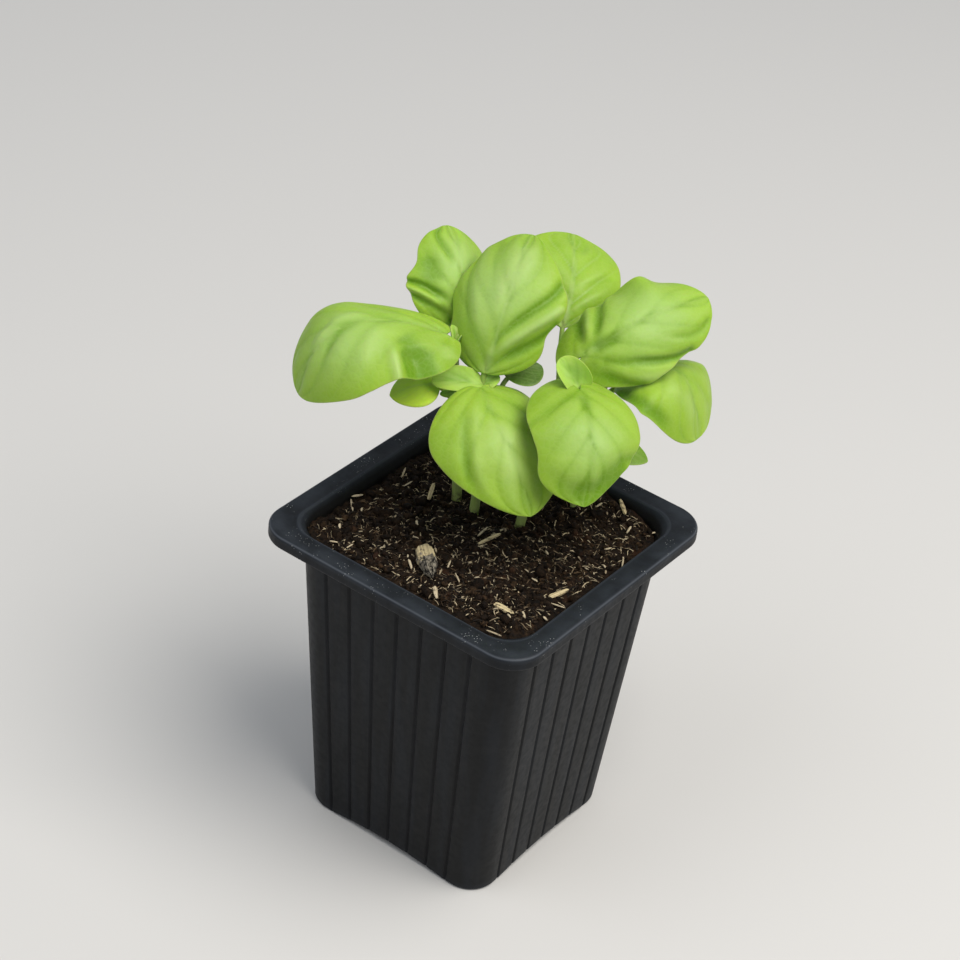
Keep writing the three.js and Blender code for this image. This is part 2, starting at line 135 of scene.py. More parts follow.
def cells(points: Array, size: float, seed: int = 0) -> tuple[Array, Array]:
    """Splits space into crumbs and measures how far each point lies from its crumb's middle.

    Args:
        points: Points in millimetres, in the last axis.
        size: How wide a crumb is.
        seed: Picks the pattern.

    Returns:
        The distance to the nearest crumb's middle as a share of size, and that crumb's own number.
    """
    scaled = points / size + CRUMB_START
    low = np.floor(scaled)
    nearest = np.full(points.shape[:-1], np.inf)
    owner = np.zeros(points.shape[:-1])
    for step in np.ndindex(3, 3, 3):
        cell = low + np.array(step) - 1
        middle = cell + np.stack([hashed(cell, seed + k) for k in range(3)], -1)
        far = np.linalg.norm(scaled - middle, axis=-1)
        closer = far < nearest
        nearest = np.where(closer, far, nearest)
        owner = np.where(closer, hashed(cell, seed + 7), owner)
    return nearest, owner


def smooth_step(low: float, high: float, value: Array) -> Array:
    """Rises smoothly from 0 at low to 1 at high."""
    share = np.clip((value - low) / (high - low), 0, 1)
    return share * share * (3 - 2 * share)


def unit(vectors: Array) -> Array:
    """Makes each vector one long."""
    return vectors / np.maximum(np.linalg.norm(vectors, axis=-1, keepdims=True), TINY)


def turned(vector: Array, axis: Array, angle: Array) -> Array:
    """Turns a vector about an axis.

    Args:
        vector: The vector, or one for each angle.
        axis: The axis, one long.
        angle: Angles in radians.

    Returns:
        One turned vector for each angle.
    """
    angle = np.asarray(angle, float)[..., None]
    along = (vector * axis).sum(-1, keepdims=True) * axis
    return vector * np.cos(angle) + np.cross(axis, vector) * np.sin(angle) + along * (1 - np.cos(angle))


def arched(share: Array, start: Array, crest: Array, end: Array) -> Array:
    """Draws a bow between two points, pulled towards a third.

    Args:
        share: Shares of the way, each in a row of its own.
        start: Where the bow starts.
        crest: The point that pulls it.
        end: Where it ends.

    Returns:
        One point for each share.
    """
    return (1 - share) ** 2 * start + 2 * share * (1 - share) * crest + share**2 * end


def flowing(share: Array, start: Array, leaving: Array, end: Array, arriving: Array) -> Array:
    """Draws a line that leaves one value and arrives at another with chosen slopes.

    Args:
        share: Shares of the way.
        start: Where the line starts.
        leaving: Its slope there.
        end: Where it ends.
        arriving: Its slope there.

    Returns:
        The line's value at each share.
    """
    return ((2 * share**3 - 3 * share**2 + 1) * start + (share**3 - 2 * share**2 + share) * leaving
            + (3 * share**2 - 2 * share**3) * end + (share**3 - share**2) * arriving)


# ------------------------------------------------------------------ meshes


@dataclass
class Skin:
    """A mesh in the making: points in millimetres, faces, and named numbers at the points."""

    points: Array
    faces: list[list[int]]
    marks: dict[str, Array] = field(default_factory=dict)


def joined(skins: Iterable[Skin]) -> Skin:
    """Puts several skins into one.

    Args:
        skins: Skins with the same marks.

    Returns:
        One skin with all their points and faces.
    """
    kept = list(skins)
    starts = np.cumsum([0] + [len(skin.points) for skin in kept])
    faces = [[i + int(start) for i in face] for skin, start in zip(kept, starts) for face in skin.faces]
    marks = {name: np.concatenate([skin.marks[name] for skin in kept]) for name in kept[0].marks}
    return Skin(np.concatenate([skin.points for skin in kept]), faces, marks)


def ring_faces(rings: int, count: int) -> list[list[int]]:
    """Lists the four-sided faces between closed rings of points.

    Args:
        rings: How many rings follow one another.
        count: How many points each ring has.

    Returns:
        The faces, each as four places in the list of points.
    """
    low = np.arange(rings - 1)[:, None] * count
    here, following = np.arange(count)[None], (np.arange(count)[None] + 1) % count
    quads = np.stack([low + here, low + following, low + following + count, low + here + count], -1)
    return quads.reshape(-1, 4).tolist()


def closed_faces(rings: int, count: int) -> list[list[int]]:
    """Lists the faces between closed rings of points, with a cap on the first ring and on the last.

    Args:
        rings: How many rings follow one another.
        count: How many points each ring has.

    Returns:
        The faces: the sides, then the two caps.
    """
    last = (rings - 1) * count
    return ring_faces(rings, count) + [list(range(count))[::-1], list(range(last, last + count))]


def tube(path: Array, radii: Array, sides: int, squash: float = 1.0) -> Skin:
    """Wraps a closed skin round a path.

    Args:
        path: The points of the middle line.
        radii: The radius at each of them.
        sides: How many points go round.
        squash: The second radius as a share of the first.

    Returns:
        A skin with capped ends.
    """
    tangents = unit(np.gradient(path, axis=0))
    start = np.cross(tangents[0], UP if abs(tangents[0][2]) < 0.9 else ALONG_X)
    across = [unit(start)]
    for tangent in tangents[1:]:
        across.append(unit(across[-1] - tangent * (across[-1] @ tangent)))
    sideways = np.array(across)
    outward = np.cross(tangents, sideways)
    angles = np.linspace(0, 2 * math.pi, sides, endpoint=False)
    wide = sideways[:, None] * np.cos(angles)[None, :, None]
    high = outward[:, None] * (squash * np.sin(angles))[None, :, None]
    points = path[:, None] + (wide + high) * np.asarray(radii)[:, None, None]
    return Skin(points.reshape(-1, 3), closed_faces(len(path), sides))


def add_piece(name: str, skin: Skin, material: bpy.types.Material,
              stands_for: Sequence[str] = ()) -> bpy.types.Object:
    """Makes a skin into a piece of the object.

    Args:
        name: The piece's name.
        skin: Its skin, in millimetres.
        material: Its finish.
        stands_for: The solids that it replaces.

    Returns:
        The new object, riding on the plant's one body.
    """
    mesh = bpy.data.meshes.new(name)
    mesh.from_pydata((skin.points * MM).tolist(), [], skin.faces)
    mesh.validate()
    mesh.polygons.foreach_set("use_smooth", [True] * len(mesh.polygons))
    for mark, values in skin.marks.items():
        mesh.attributes.new(mark, "FLOAT", "POINT").data.foreach_set("value", values.astype(np.float32))
    mesh.materials.append(material)
    made = bpy.data.objects.new(name, mesh)
    bpy.context.collection.objects.link(made)
    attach(made, "root")
    if stands_for:
        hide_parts(*stands_for)
    log.info("%s: %d points, %d faces", name, len(mesh.vertices), len(mesh.polygons))
    return made


# ------------------------------------------------------------------ finishes


class Sum(Enum):
    """The sums that a finish works out from two values."""

    ADD = "ADD"
    TIMES = "MULTIPLY"
    POWER = "POWER"


class Measure(Enum):
    """What a pattern of cells measures: how far a point lies from a cell's middle or from its edge."""

    MIDDLE = "F1"
    EDGE = "DISTANCE_TO_EDGE"


class BlendSocket(Enum):
    """The places of the colour blend's sockets, several of which share a name."""

    SHARE = 0
    FIRST = 6
    SECOND = 7
    RESULT = 2


class Recipe:
    """A material in the making, with one surface shader and short names for its nodes."""

    def __init__(self, name: str, roughness: float, specular: float = 0.5) -> None:
        """Starts a material.

        Args:
            name: The material's name.
            roughness: The shader's roughness where nothing drives it.
            specular: The shader's specular level.
        """
        self.material = bpy.data.materials.new(name)
        self.material.use_nodes = True
        self.nodes = self.material.node_tree.nodes
        self.shader = self.nodes["Principled BSDF"]
        self.shader.inputs["Roughness"].default_value = roughness
        self.shader.inputs["Specular IOR Level"].default_value = specular
        self.place = self.node("ShaderNodeTexCoord").outputs["Object"]

    def node(self, kind: str, **settings: object) -> bpy.types.Node:
        """Adds a node.

        Args:
            kind: The node's type.
            settings: The node's own settings.

        Returns:
            The node.
        """
        made = self.nodes.new(kind)
        for name, value in settings.items():
            setattr(made, name, value)
        return made

    def feed(self, socket: Socket, value: Socket | float | Sequence[float]) -> None:
        """Links a value to a socket, or sets it where it is a constant.

        Args:
            socket: The socket.
            value: Another node's output, a number, or a colour.
        """
        if isinstance(value, bpy.types.NodeSocket):
            self.material.node_tree.links.new(value, socket)
        else:
            opaque = socket.type == "RGBA" and len(value) == 3
            socket.default_value = (*value, 1.0) if opaque else value

    def surface(self, **values: Socket | float | Colour) -> None:
        """Feeds the shader's sockets, named with underscores for their spaces."""
        for name, value in values.items():
            self.feed(self.shader.inputs[name.replace("_", " ")], value)

    def mark(self, name: str) -> Socket:
        """Reads one of the mesh's named numbers."""
        return self.node("ShaderNodeAttribute", attribute_name=name).outputs["Fac"]

    def noise(self, size: float, detail: float = 3.0, warp: float = 0.0,
              stretch: Point = (1, 1, 1)) -> Socket:
        """Adds a soft random pattern.

        Args:
            size: How far apart its patches lie, in millimetres.
            detail: How many finer patterns it carries.
            warp: How much it is distorted.
            stretch: How many times finer it is along each axis.

        Returns:
            The pattern, from 0 to 1.
        """
        scaled = self.node("ShaderNodeMapping")
        self.feed(scaled.inputs["Vector"], self.place)
        scaled.inputs["Scale"].default_value = stretch
        made = self.node("ShaderNodeTexNoise")
        self.feed(made.inputs["Vector"], scaled.outputs["Vector"])
        self.feed(made.inputs["Scale"], 1 / (size * MM))
        self.feed(made.inputs["Detail"], detail)
        self.feed(made.inputs["Distortion"], warp)
        return made.outputs["Fac"]

    def streaks(self, across: Socket, fineness: float, detail: float = 3.0) -> Socket:
        """Adds streaks that lie side by side where a value changes.

        Args:
            across: The value.
            fineness: How many streaks lie in one whole step of it.
            detail: How many finer patterns they carry.

        Returns:
            The pattern, from 0 to 1.
        """
        made = self.node("ShaderNodeTexNoise", noise_dimensions="1D")
        self.feed(made.inputs["W"], across)
        self.feed(made.inputs["Scale"], fineness)
        self.feed(made.inputs["Detail"], detail)
        return made.outputs["Fac"]

    def grains(self, size: float, measure: Measure = Measure.MIDDLE) -> Socket:
        """Adds a pattern of cells.

        Args:
            size: How wide a cell is, in millimetres.
            measure: What is measured in it.

        Returns:
            The distance, as a share of a cell's width.
        """
        made = self.node("ShaderNodeTexVoronoi", feature=measure.value)
        self.feed(made.inputs["Vector"], self.place)
        self.feed(made.inputs["Scale"], 1 / (size * MM))
        return made.outputs["Distance"]

    def fit(self, value: Socket, given: Span, wanted: Span = (0.0, 1.0)) -> Socket:
        """Stretches a value smoothly from one span to another.

        Args:
            value: The value.
            given: The two values that give the ends of the result.
            wanted: The two ends of the result, between which it is held.

        Returns:
            The stretched value.
        """
        made = self.node("ShaderNodeMapRange", interpolation_type="SMOOTHSTEP")
        names = ("Value", "From Min", "From Max", "To Min", "To Max")
        for name, number in zip(names, (value, *given, *wanted)):
            self.feed(made.inputs[name], number)
        return made.outputs["Result"]

    def maths(self, operation: Sum, first: Socket | float, second: Socket | float) -> Socket:
        """Works out one sum of two values.

        Args:
            operation: The kind of sum.
            first: The first value.
            second: The second value.

        Returns:
            The result.
        """
        made = self.node("ShaderNodeMath", operation=operation.value)
        self.feed(made.inputs[0], first)
        self.feed(made.inputs[1], second)
        return made.outputs["Value"]

    def times(self, first: Socket, second: Socket | float) -> Socket:
        """Multiplies two values."""
        return self.maths(Sum.TIMES, first, second)

    def blend(self, share: Socket | float, first: Socket | Colour, second: Socket | Colour) -> Socket:
        """Blends two colours.

        Args:
            share: How much of the second.
            first: The first colour.
            second: The second colour.

        Returns:
            The blended colour.
        """
        made = self.node("ShaderNodeMix", data_type="RGBA")
        self.feed(made.inputs[BlendSocket.SHARE.value], share)
        self.feed(made.inputs[BlendSocket.FIRST.value], first)
        self.feed(made.inputs[BlendSocket.SECOND.value], second)
        return made.outputs[BlendSocket.RESULT.value]

    def coats(self, ground: Colour, *layers: tuple[Socket, Socket | Colour]) -> Socket:
        """Lays coats of colour over one another.

        Args:
            ground: The colour beneath them all.
            layers: Each coat's share and colour, the lowest first.

        Returns:
            The colour that shows.
        """
        tone: Socket | Colour = ground
        for share, colour in layers:
            tone = self.blend(share, tone, colour)
        return tone

    def relief(self, *layers: tuple[Socket, float]) -> None:
        """Presses one or more height patterns into the surface.

        Args:
            layers: Each pattern with its height in millimetres.
        """
        normal: Socket | None = None
        for height, depth in layers:
            made = self.node("ShaderNodeBump")
            made.inputs["Distance"].default_value = depth * MM
            self.feed(made.inputs["Height"], height)
            if normal is not None:
                self.feed(made.inputs["Normal"], normal)
            normal = made.outputs["Normal"]
        self.feed(self.shader.inputs["Normal"], normal)


@dataclass(frozen=True)
class LeafGreen:
    """The living green of a blade: pale along its veins, dull beneath, with painted highlights on its middle
    and cushions and painted shade in its creases.
    """

    name: str
    light: Colour = (0.285, 0.44, 0.030)
    # Deep green, used for random darker patches and for painted shade in creases.
    deep: Colour = (0.135, 0.265, 0.006)
    # The paler green of the painted highlight over the blade's middle.
    painted_highlight: Colour = (0.34, 0.50, 0.135)
    # Pale vein green, also laid as painted highlight on raised folds and cushions.
    vein: Colour = (0.42, 0.55, 0.19)
    beneath: Colour = (0.21, 0.33, 0.085)
    margin: Colour = (0.33, 0.43, 0.10)
    roughness: float = 0.46
    patch: float = 11.0
    net: float = 1.5
    net_depth: float = 0.022
    pore: float = 0.35
    pore_depth: float = 0.008

    def material(self) -> bpy.types.Material:
        """Builds the material from the blade's marks, which lay painted shade and painted highlights, a fine
        net of veins and soft patches of colour.
        """
        recipe = Recipe(self.name, self.roughness, specular=0.22)
        patches = recipe.noise(self.patch, detail=1.5, warp=0.5)
        net = recipe.grains(self.net, Measure.EDGE)
        tone = recipe.coats(
            self.light,
            (recipe.fit(patches, (0.3, 0.7), (0.0, 0.35)), self.deep),
            # Painted highlight: a paler green laid over the middle of the blade.
            (recipe.mark("painted_highlight"), self.painted_highlight),
            # Painted shade: the deep green laid in creases, the midrib's channel and the hollows between
            # cushions.
            (recipe.fit(recipe.mark("painted_crease_shade"), (0.0, 1.0)), self.deep),
            # Painted highlight: the pale vein green laid along raised folds and cushions.
            (recipe.fit(recipe.mark("crest"), (0.0, 1.2), (0.0, 0.6)), self.vein),
            (recipe.fit(net, (0.02, 0.14), (0.07, 0.0)), self.vein),
            (recipe.times(recipe.mark("vein"), 0.5), self.vein),
            (recipe.times(recipe.mark("rim"), 0.5), self.margin),
            (recipe.mark("under"), self.beneath))
        gloss = recipe.fit(recipe.noise(2.2), (0.3, 0.75), (self.roughness - 0.06, self.roughness + 0.1))
        recipe.surface(Base_Color=tone, Roughness=gloss, Subsurface_Weight=0.35,
                       Subsurface_Radius=(0.5, 1.0, 0.15), Subsurface_Scale=0.0016,
                       Sheen_Weight=0.05, Sheen_Roughness=0.4)
        recipe.relief((recipe.fit(net, (0.0, 0.35)), self.net_depth),
                      (recipe.noise(self.pore, detail=2.0), self.pore_depth))
        return recipe.material


@dataclass(frozen=True)
class StemGreen:
    """The pale, watery green of a young stem, streaked along its length and whiter at its foot."""

    name: str
    fresh: Colour = (0.24, 0.36, 0.06)
    pale: Colour = (0.36, 0.43, 0.15)
    foot: Colour = (0.34, 0.42, 0.13)
    soiled: Colour = (0.055, 0.045, 0.018)
    streak: float = 0.5
    streak_stretch: Point = (1, 1, 0.08)
    streak_depth: float = 0.05

    def material(self) -> bpy.types.Material:
        """Builds the material from lengthwise streaks and the height above the peat."""
        recipe = Recipe(self.name, 0.38, specular=0.45)
        drawn = recipe.noise(self.streak, detail=2.0, stretch=self.streak_stretch)
        streaks = recipe.fit(drawn, (0.35, 0.65))
        stained = recipe.fit(recipe.noise(0.9, detail=4.0), (0.35, 0.65))
        tone = recipe.coats(
            self.fresh,
            (streaks, self.pale),
            (recipe.mark("foot"), self.foot),
            (recipe.mark("vein"), self.pale),
            (recipe.times(recipe.mark("soiled"), stained), self.soiled))
        recipe.surface(Base_Color=tone, Subsurface_Weight=0.4, Subsurface_Radius=(0.7, 1.0, 0.3),
                       Subsurface_Scale=0.0016)
        recipe.relief((streaks, self.streak_depth), (recipe.noise(0.3, detail=2.0), 0.02))
        return recipe.material


@dataclass(frozen=True)
class PotPlastic:
    """Thin near-black moulded plastic: satin, worn paler on its edges, with a painted highlight line along
    the rim's outer rounding and mineral specks on its rim.
    """

    name: str = "pot_plastic"
    body: Colour = (0.0034, 0.0039, 0.0047)
    worn: Colour = (0.014, 0.018, 0.025)
    worn_flat: Colour = (0.023, 0.027, 0.033)
    # The bright colour of the painted highlight line along the rim's outer rounding.
    rubbed_and_highlight: Colour = (0.078, 0.086, 0.098)
    speck: Colour = (0.42, 0.43, 0.42)
    dust: Colour = (0.040, 0.037, 0.034)
    soiled: Colour = (0.0030, 0.0024, 0.0018)
    drawn_stretch: Point = (1, 1, 0.06)
    speck_size: float = 0.6
    # How narrow the painted highlight line is, as a power of the arris mark.
    highlight_sharpness: float = 6.0

    def material(self) -> bpy.types.Material:
        """Builds the material from the pot's marks, drawn streaks, scuffs, specks and a painted highlight
        along the rim's edge.
        """
        recipe = Recipe(self.name, 0.5, specular=0.2)
        drawn = recipe.fit(recipe.noise(3.0, stretch=self.drawn_stretch), (0.35, 0.75))
        film = recipe.fit(recipe.noise(6.0, detail=5.0, warp=0.4), (0.52, 0.78))
        # Patches of wear on the rim's flat.
        rubbed_and_highlight = recipe.fit(recipe.noise(7.0, detail=5.0), (0.3, 0.7), (0.15, 0.9))
        arris, specks = recipe.mark("arris"), recipe.mark("specks")
        dots = recipe.fit(recipe.grains(self.speck_size), (0.12, 0.20), (1.0, 0.0))
        sparse = recipe.fit(recipe.noise(5.0, detail=4.0), (0.56, 0.60))
        dots = recipe.times(recipe.times(dots, sparse), specks)
        tone = recipe.coats(
            self.body,
            (recipe.times(drawn, 0.35), self.worn),
            # Edge wear; on the rim's outer rounding this coat is also painted highlight.
            (recipe.times(arris, 0.75), self.worn),
            (recipe.times(film, 0.08), self.dust),
            (recipe.times(specks, rubbed_and_highlight), self.worn_flat),
            # Painted highlight: a bright line where the arris mark is strongest, along the rim's outer
            # rounding.
            (recipe.times(recipe.maths(Sum.POWER, arris, self.highlight_sharpness), 0.75), self.rubbed_and_highlight),
            (dots, self.speck),
            (recipe.mark("within"), self.soiled))
        gloss = recipe.fit(recipe.noise(1.6, detail=4.0, warp=0.3), (0.3, 0.75), (0.47, 0.57))
        recipe.surface(Base_Color=tone, Roughness=gloss)
        recipe.relief((recipe.noise(0.45), 0.002), (drawn, 0.02), (dots, 0.05))
        return recipe.material


@dataclass(frozen=True)
class Peat:
    """Dark, damp, crumbly peat: near black in its hollows, red-brown where crumbs dry out."""

    name: str
    dark: Colour = (0.0030, 0.0017, 0.0008)
    brown: Colour = (0.0150, 0.0078, 0.0034)
    dry: Colour = (0.056, 0.031, 0.014)
    warm: Colour = (0.040, 0.016, 0.007)

    def material(self) -> bpy.types.Material:
        """Builds the material from each crumb's own tint and finer patches over it."""
        recipe = Recipe(self.name, 0.85, specular=0.12)
        patches = recipe.fit(recipe.noise(1.1, detail=5.0, warp=0.5), (0.32, 0.68))
        dried = recipe.times(recipe.fit(recipe.mark("tint"), (0.55, 1.0)),
                             recipe.fit(recipe.noise(0.5), (0.35, 0.7)))
        reddish = recipe.fit(recipe.noise(6.0, detail=2.0), (0.60, 0.74), (0.0, 0.6))
        tone = recipe.coats(self.dark, (patches, self.brown), (dried, self.dry), (reddish, self.warm))
        gloss = recipe.fit(recipe.noise(0.8, detail=2.0), (0.3, 0.7), (0.62, 0.92))
        recipe.surface(Base_Color=tone, Roughness=gloss)
        recipe.relief((recipe.noise(0.4, detail=6.0, warp=0.6), 0.25), (recipe.grains(0.35), 0.12))
        return recipe.material


@dataclass(frozen=True)
class DryWood:
    """Dry split wood and fibre: pale tan with darker grain, greyed and soiled here and there."""

    name: str
    pale: Colour = (0.72, 0.61, 0.41)
    grain: Colour = (0.27, 0.19, 0.105)
    soiled: Colour = (0.060, 0.042, 0.028)
    bark: Colour = (0.25, 0.215, 0.16)
    cracks: Colour = (0.012, 0.010, 0.008)
    fineness: float = 9.0

    def material(self) -> bpy.types.Material:
        """Builds the material from the mesh's own grain mark and soiled patches."""
        recipe = Recipe(self.name, 0.75, specular=0.3)
        lines = recipe.streaks(recipe.mark("grain"), self.fineness)
        crusts = recipe.maths(Sum.ADD, recipe.times(lines, 0.4),
                              recipe.times(recipe.noise(0.9, warp=0.8), 0.6))
        tone = recipe.coats(
            self.pale,
            (recipe.fit(lines, (0.40, 0.66)), self.grain),
            (recipe.fit(recipe.mark("tint"), (0.2, 1.0), (0.0, 0.7)), self.grain),
            (recipe.fit(recipe.noise(1.5, detail=4.0, warp=0.3), (0.55, 0.68), (0.0, 0.8)), self.soiled),
            (recipe.mark("bark"), recipe.blend(recipe.fit(crusts, (0.46, 0.56)), self.cracks, self.bark)))
        recipe.surface(Base_Color=tone)
        recipe.relief((lines, 0.15), (recipe.noise(0.3), 0.05))
        return recipe.material


@dataclass(frozen=True)
class RootFibre:
    """Fine peat fibre: most of it as dark as the peat, some brown, a few bleached strands."""

    name: str
    dark: Colour = (0.012, 0.0075, 0.0045)
    brown: Colour = (0.115, 0.070, 0.034)
    bleached: Colour = (0.56, 0.45, 0.28)

    def material(self) -> bpy.types.Material:
        """Builds the material from each strand's own tint."""
        recipe = Recipe(self.name, 0.7, specular=0.25)
        tint = recipe.mark("tint")
        tone = recipe.coats(
            self.dark,
            (recipe.fit(tint, (0.25, 0.8)), self.brown),
            (recipe.fit(tint, (0.70, 0.95)), self.bleached),
            (recipe.fit(recipe.noise(0.8), (0.45, 0.65), (0.0, 0.7)), self.dark))
        recipe.surface(Base_Color=tone)
        recipe.relief((recipe.noise(0.15, detail=2.0), 0.03))
        return recipe.material


@dataclass(frozen=True)
class PaleGround:
    """The plain pale floor under the pot."""

    name: str = "pale_ground"
    colour: Colour = (0.62, 0.60, 0.57)

    def material(self) -> bpy.types.Material:
        """Builds the floor's matt material."""
        recipe = Recipe(self.name, 0.8, specular=0.2)
        recipe.surface(Base_Color=self.colour)
        return recipe.material


# ------------------------------------------------------------------ studio


def towards(azimuth: float, elevation: float) -> Vector:
    """Points from the plant to something that stands round it.

    Args:
        azimuth: How far round from the front it stands, in degrees.
        elevation: How high, in degrees.

    Returns:
        The direction, one long.
    """
    around, high = math.radians(azimuth), math.radians(elevation)
    return Vector((math.sin(around) * math.cos(high), -math.cos(around) * math.cos(high), math.sin(high)))


@dataclass(frozen=True)
class Lamp:
    """A soft round lamp that faces the plant. Angles in degrees, lengths in millimetres, power in watts."""

    name: str
    azimuth: float
    elevation: float
    distance: float
    size: float
    power: float
    colour: Colour
    faces: Point = (0.0, 0.0, 90.0)

    def hang(self) -> None:
        """Hangs the lamp."""
        back = towards(self.azimuth, self.elevation)
        data = bpy.data.lights.new(self.name, "AREA")
        data.shape, data.size, data.energy, data.color = "DISK", self.size * MM, self.power, self.colour
        made = bpy.data.objects.new(self.name, data)
        made.location = (Vector(self.faces) + back * self.distance) * MM
        made.rotation_mode = "QUATERNION"
        made.rotation_quaternion = (-back).to_track_quat("-Z", "Y")
        bpy.context.collection.objects.link(made)


@dataclass
class Studio:
    """Camera, floor and light. Angles in degrees, lengths in millimetres."""

    azimuth: float = 33.85
    elevation: float = 35.05
    roll: float = 6.43
    distance: float = 678.19
    target: Point = (-18.24, 22.58, 80.02)
    lens: float = 100.16
    sensor: float = 36.0
    sight: Span = (50.0, 20000.0)
    floor_half: float = 3000.0
    sky: Colour = (0.80, 0.86, 0.95)
    sky_strength: float = 0.46
    lamps: tuple[Lamp, ...] = (
        Lamp("window", 95, 62, distance=1100, size=950, power=13.5, colour=(1.0, 0.98, 0.94)),
        Lamp("fill", -30, 50, distance=1200, size=900, power=3.0, colour=(0.93, 0.96, 1.0)))

    def camera(self) -> None:
        """Sets the camera at the photograph's viewing angle."""
        back, roll = towards(self.azimuth, self.elevation), math.radians(self.roll)
        level = (-back).cross(Vector(UP)).normalized()
        raised = level.cross(-back)
        right = level * math.cos(roll) + raised * math.sin(roll)
        above = raised * math.cos(roll) - level * math.sin(roll)
        data = bpy.data.cameras.new("view")
        data.lens, data.sensor_width = self.lens, self.sensor
        data.clip_start, data.clip_end = (reach * MM for reach in self.sight)
        eye = bpy.data.objects.new("view", data)
        turn = Matrix((right, above, back)).transposed()
        stand = (Vector(self.target) + back * self.distance) * MM
        eye.matrix_world = Matrix.Translation(stand) @ turn.to_4x4()
        bpy.context.collection.objects.link(eye)
        bpy.context.scene.camera = eye

    def floor(self) -> None:
        """Lays the plain pale floor."""
        half = self.floor_half * MM
        corners = [(-half, -half, 0), (half, -half, 0), (half, half, 0), (-half, half, 0)]
        mesh = bpy.data.meshes.new("floor")
        mesh.from_pydata(corners, [], [(0, 1, 2, 3)])
        mesh.materials.append(PaleGround().material())
        made = bpy.data.objects.new("floor", mesh)
        bpy.context.collection.objects.link(made)

    def light(self) -> None:
        """Lights the plant as an overcast day does: a wide sky, one brighter side and a soft fill."""
        world = bpy.data.worlds.new("sky")
        world.use_nodes = True
        sky = world.node_tree.nodes["Background"]
        sky.inputs["Color"].default_value = (*self.sky, 1.0)
        sky.inputs["Strength"].default_value = self.sky_strength
        bpy.context.scene.world = world
        for lamp in self.lamps:
            lamp.hang()
        bpy.context.scene.view_settings.view_transform = "Standard"


# ------------------------------------------------------------------ pot


@dataclass(frozen=True)
class Ring:
    """One ring round the pot: where it lies, how deep the grooves are there, and how worn it is, which also
    sets its painted highlight.
    """

    z: float
    half: float
    corner: float
    groove: float = 0.0
    arris: float = 0.0
    specks: float = 0.0


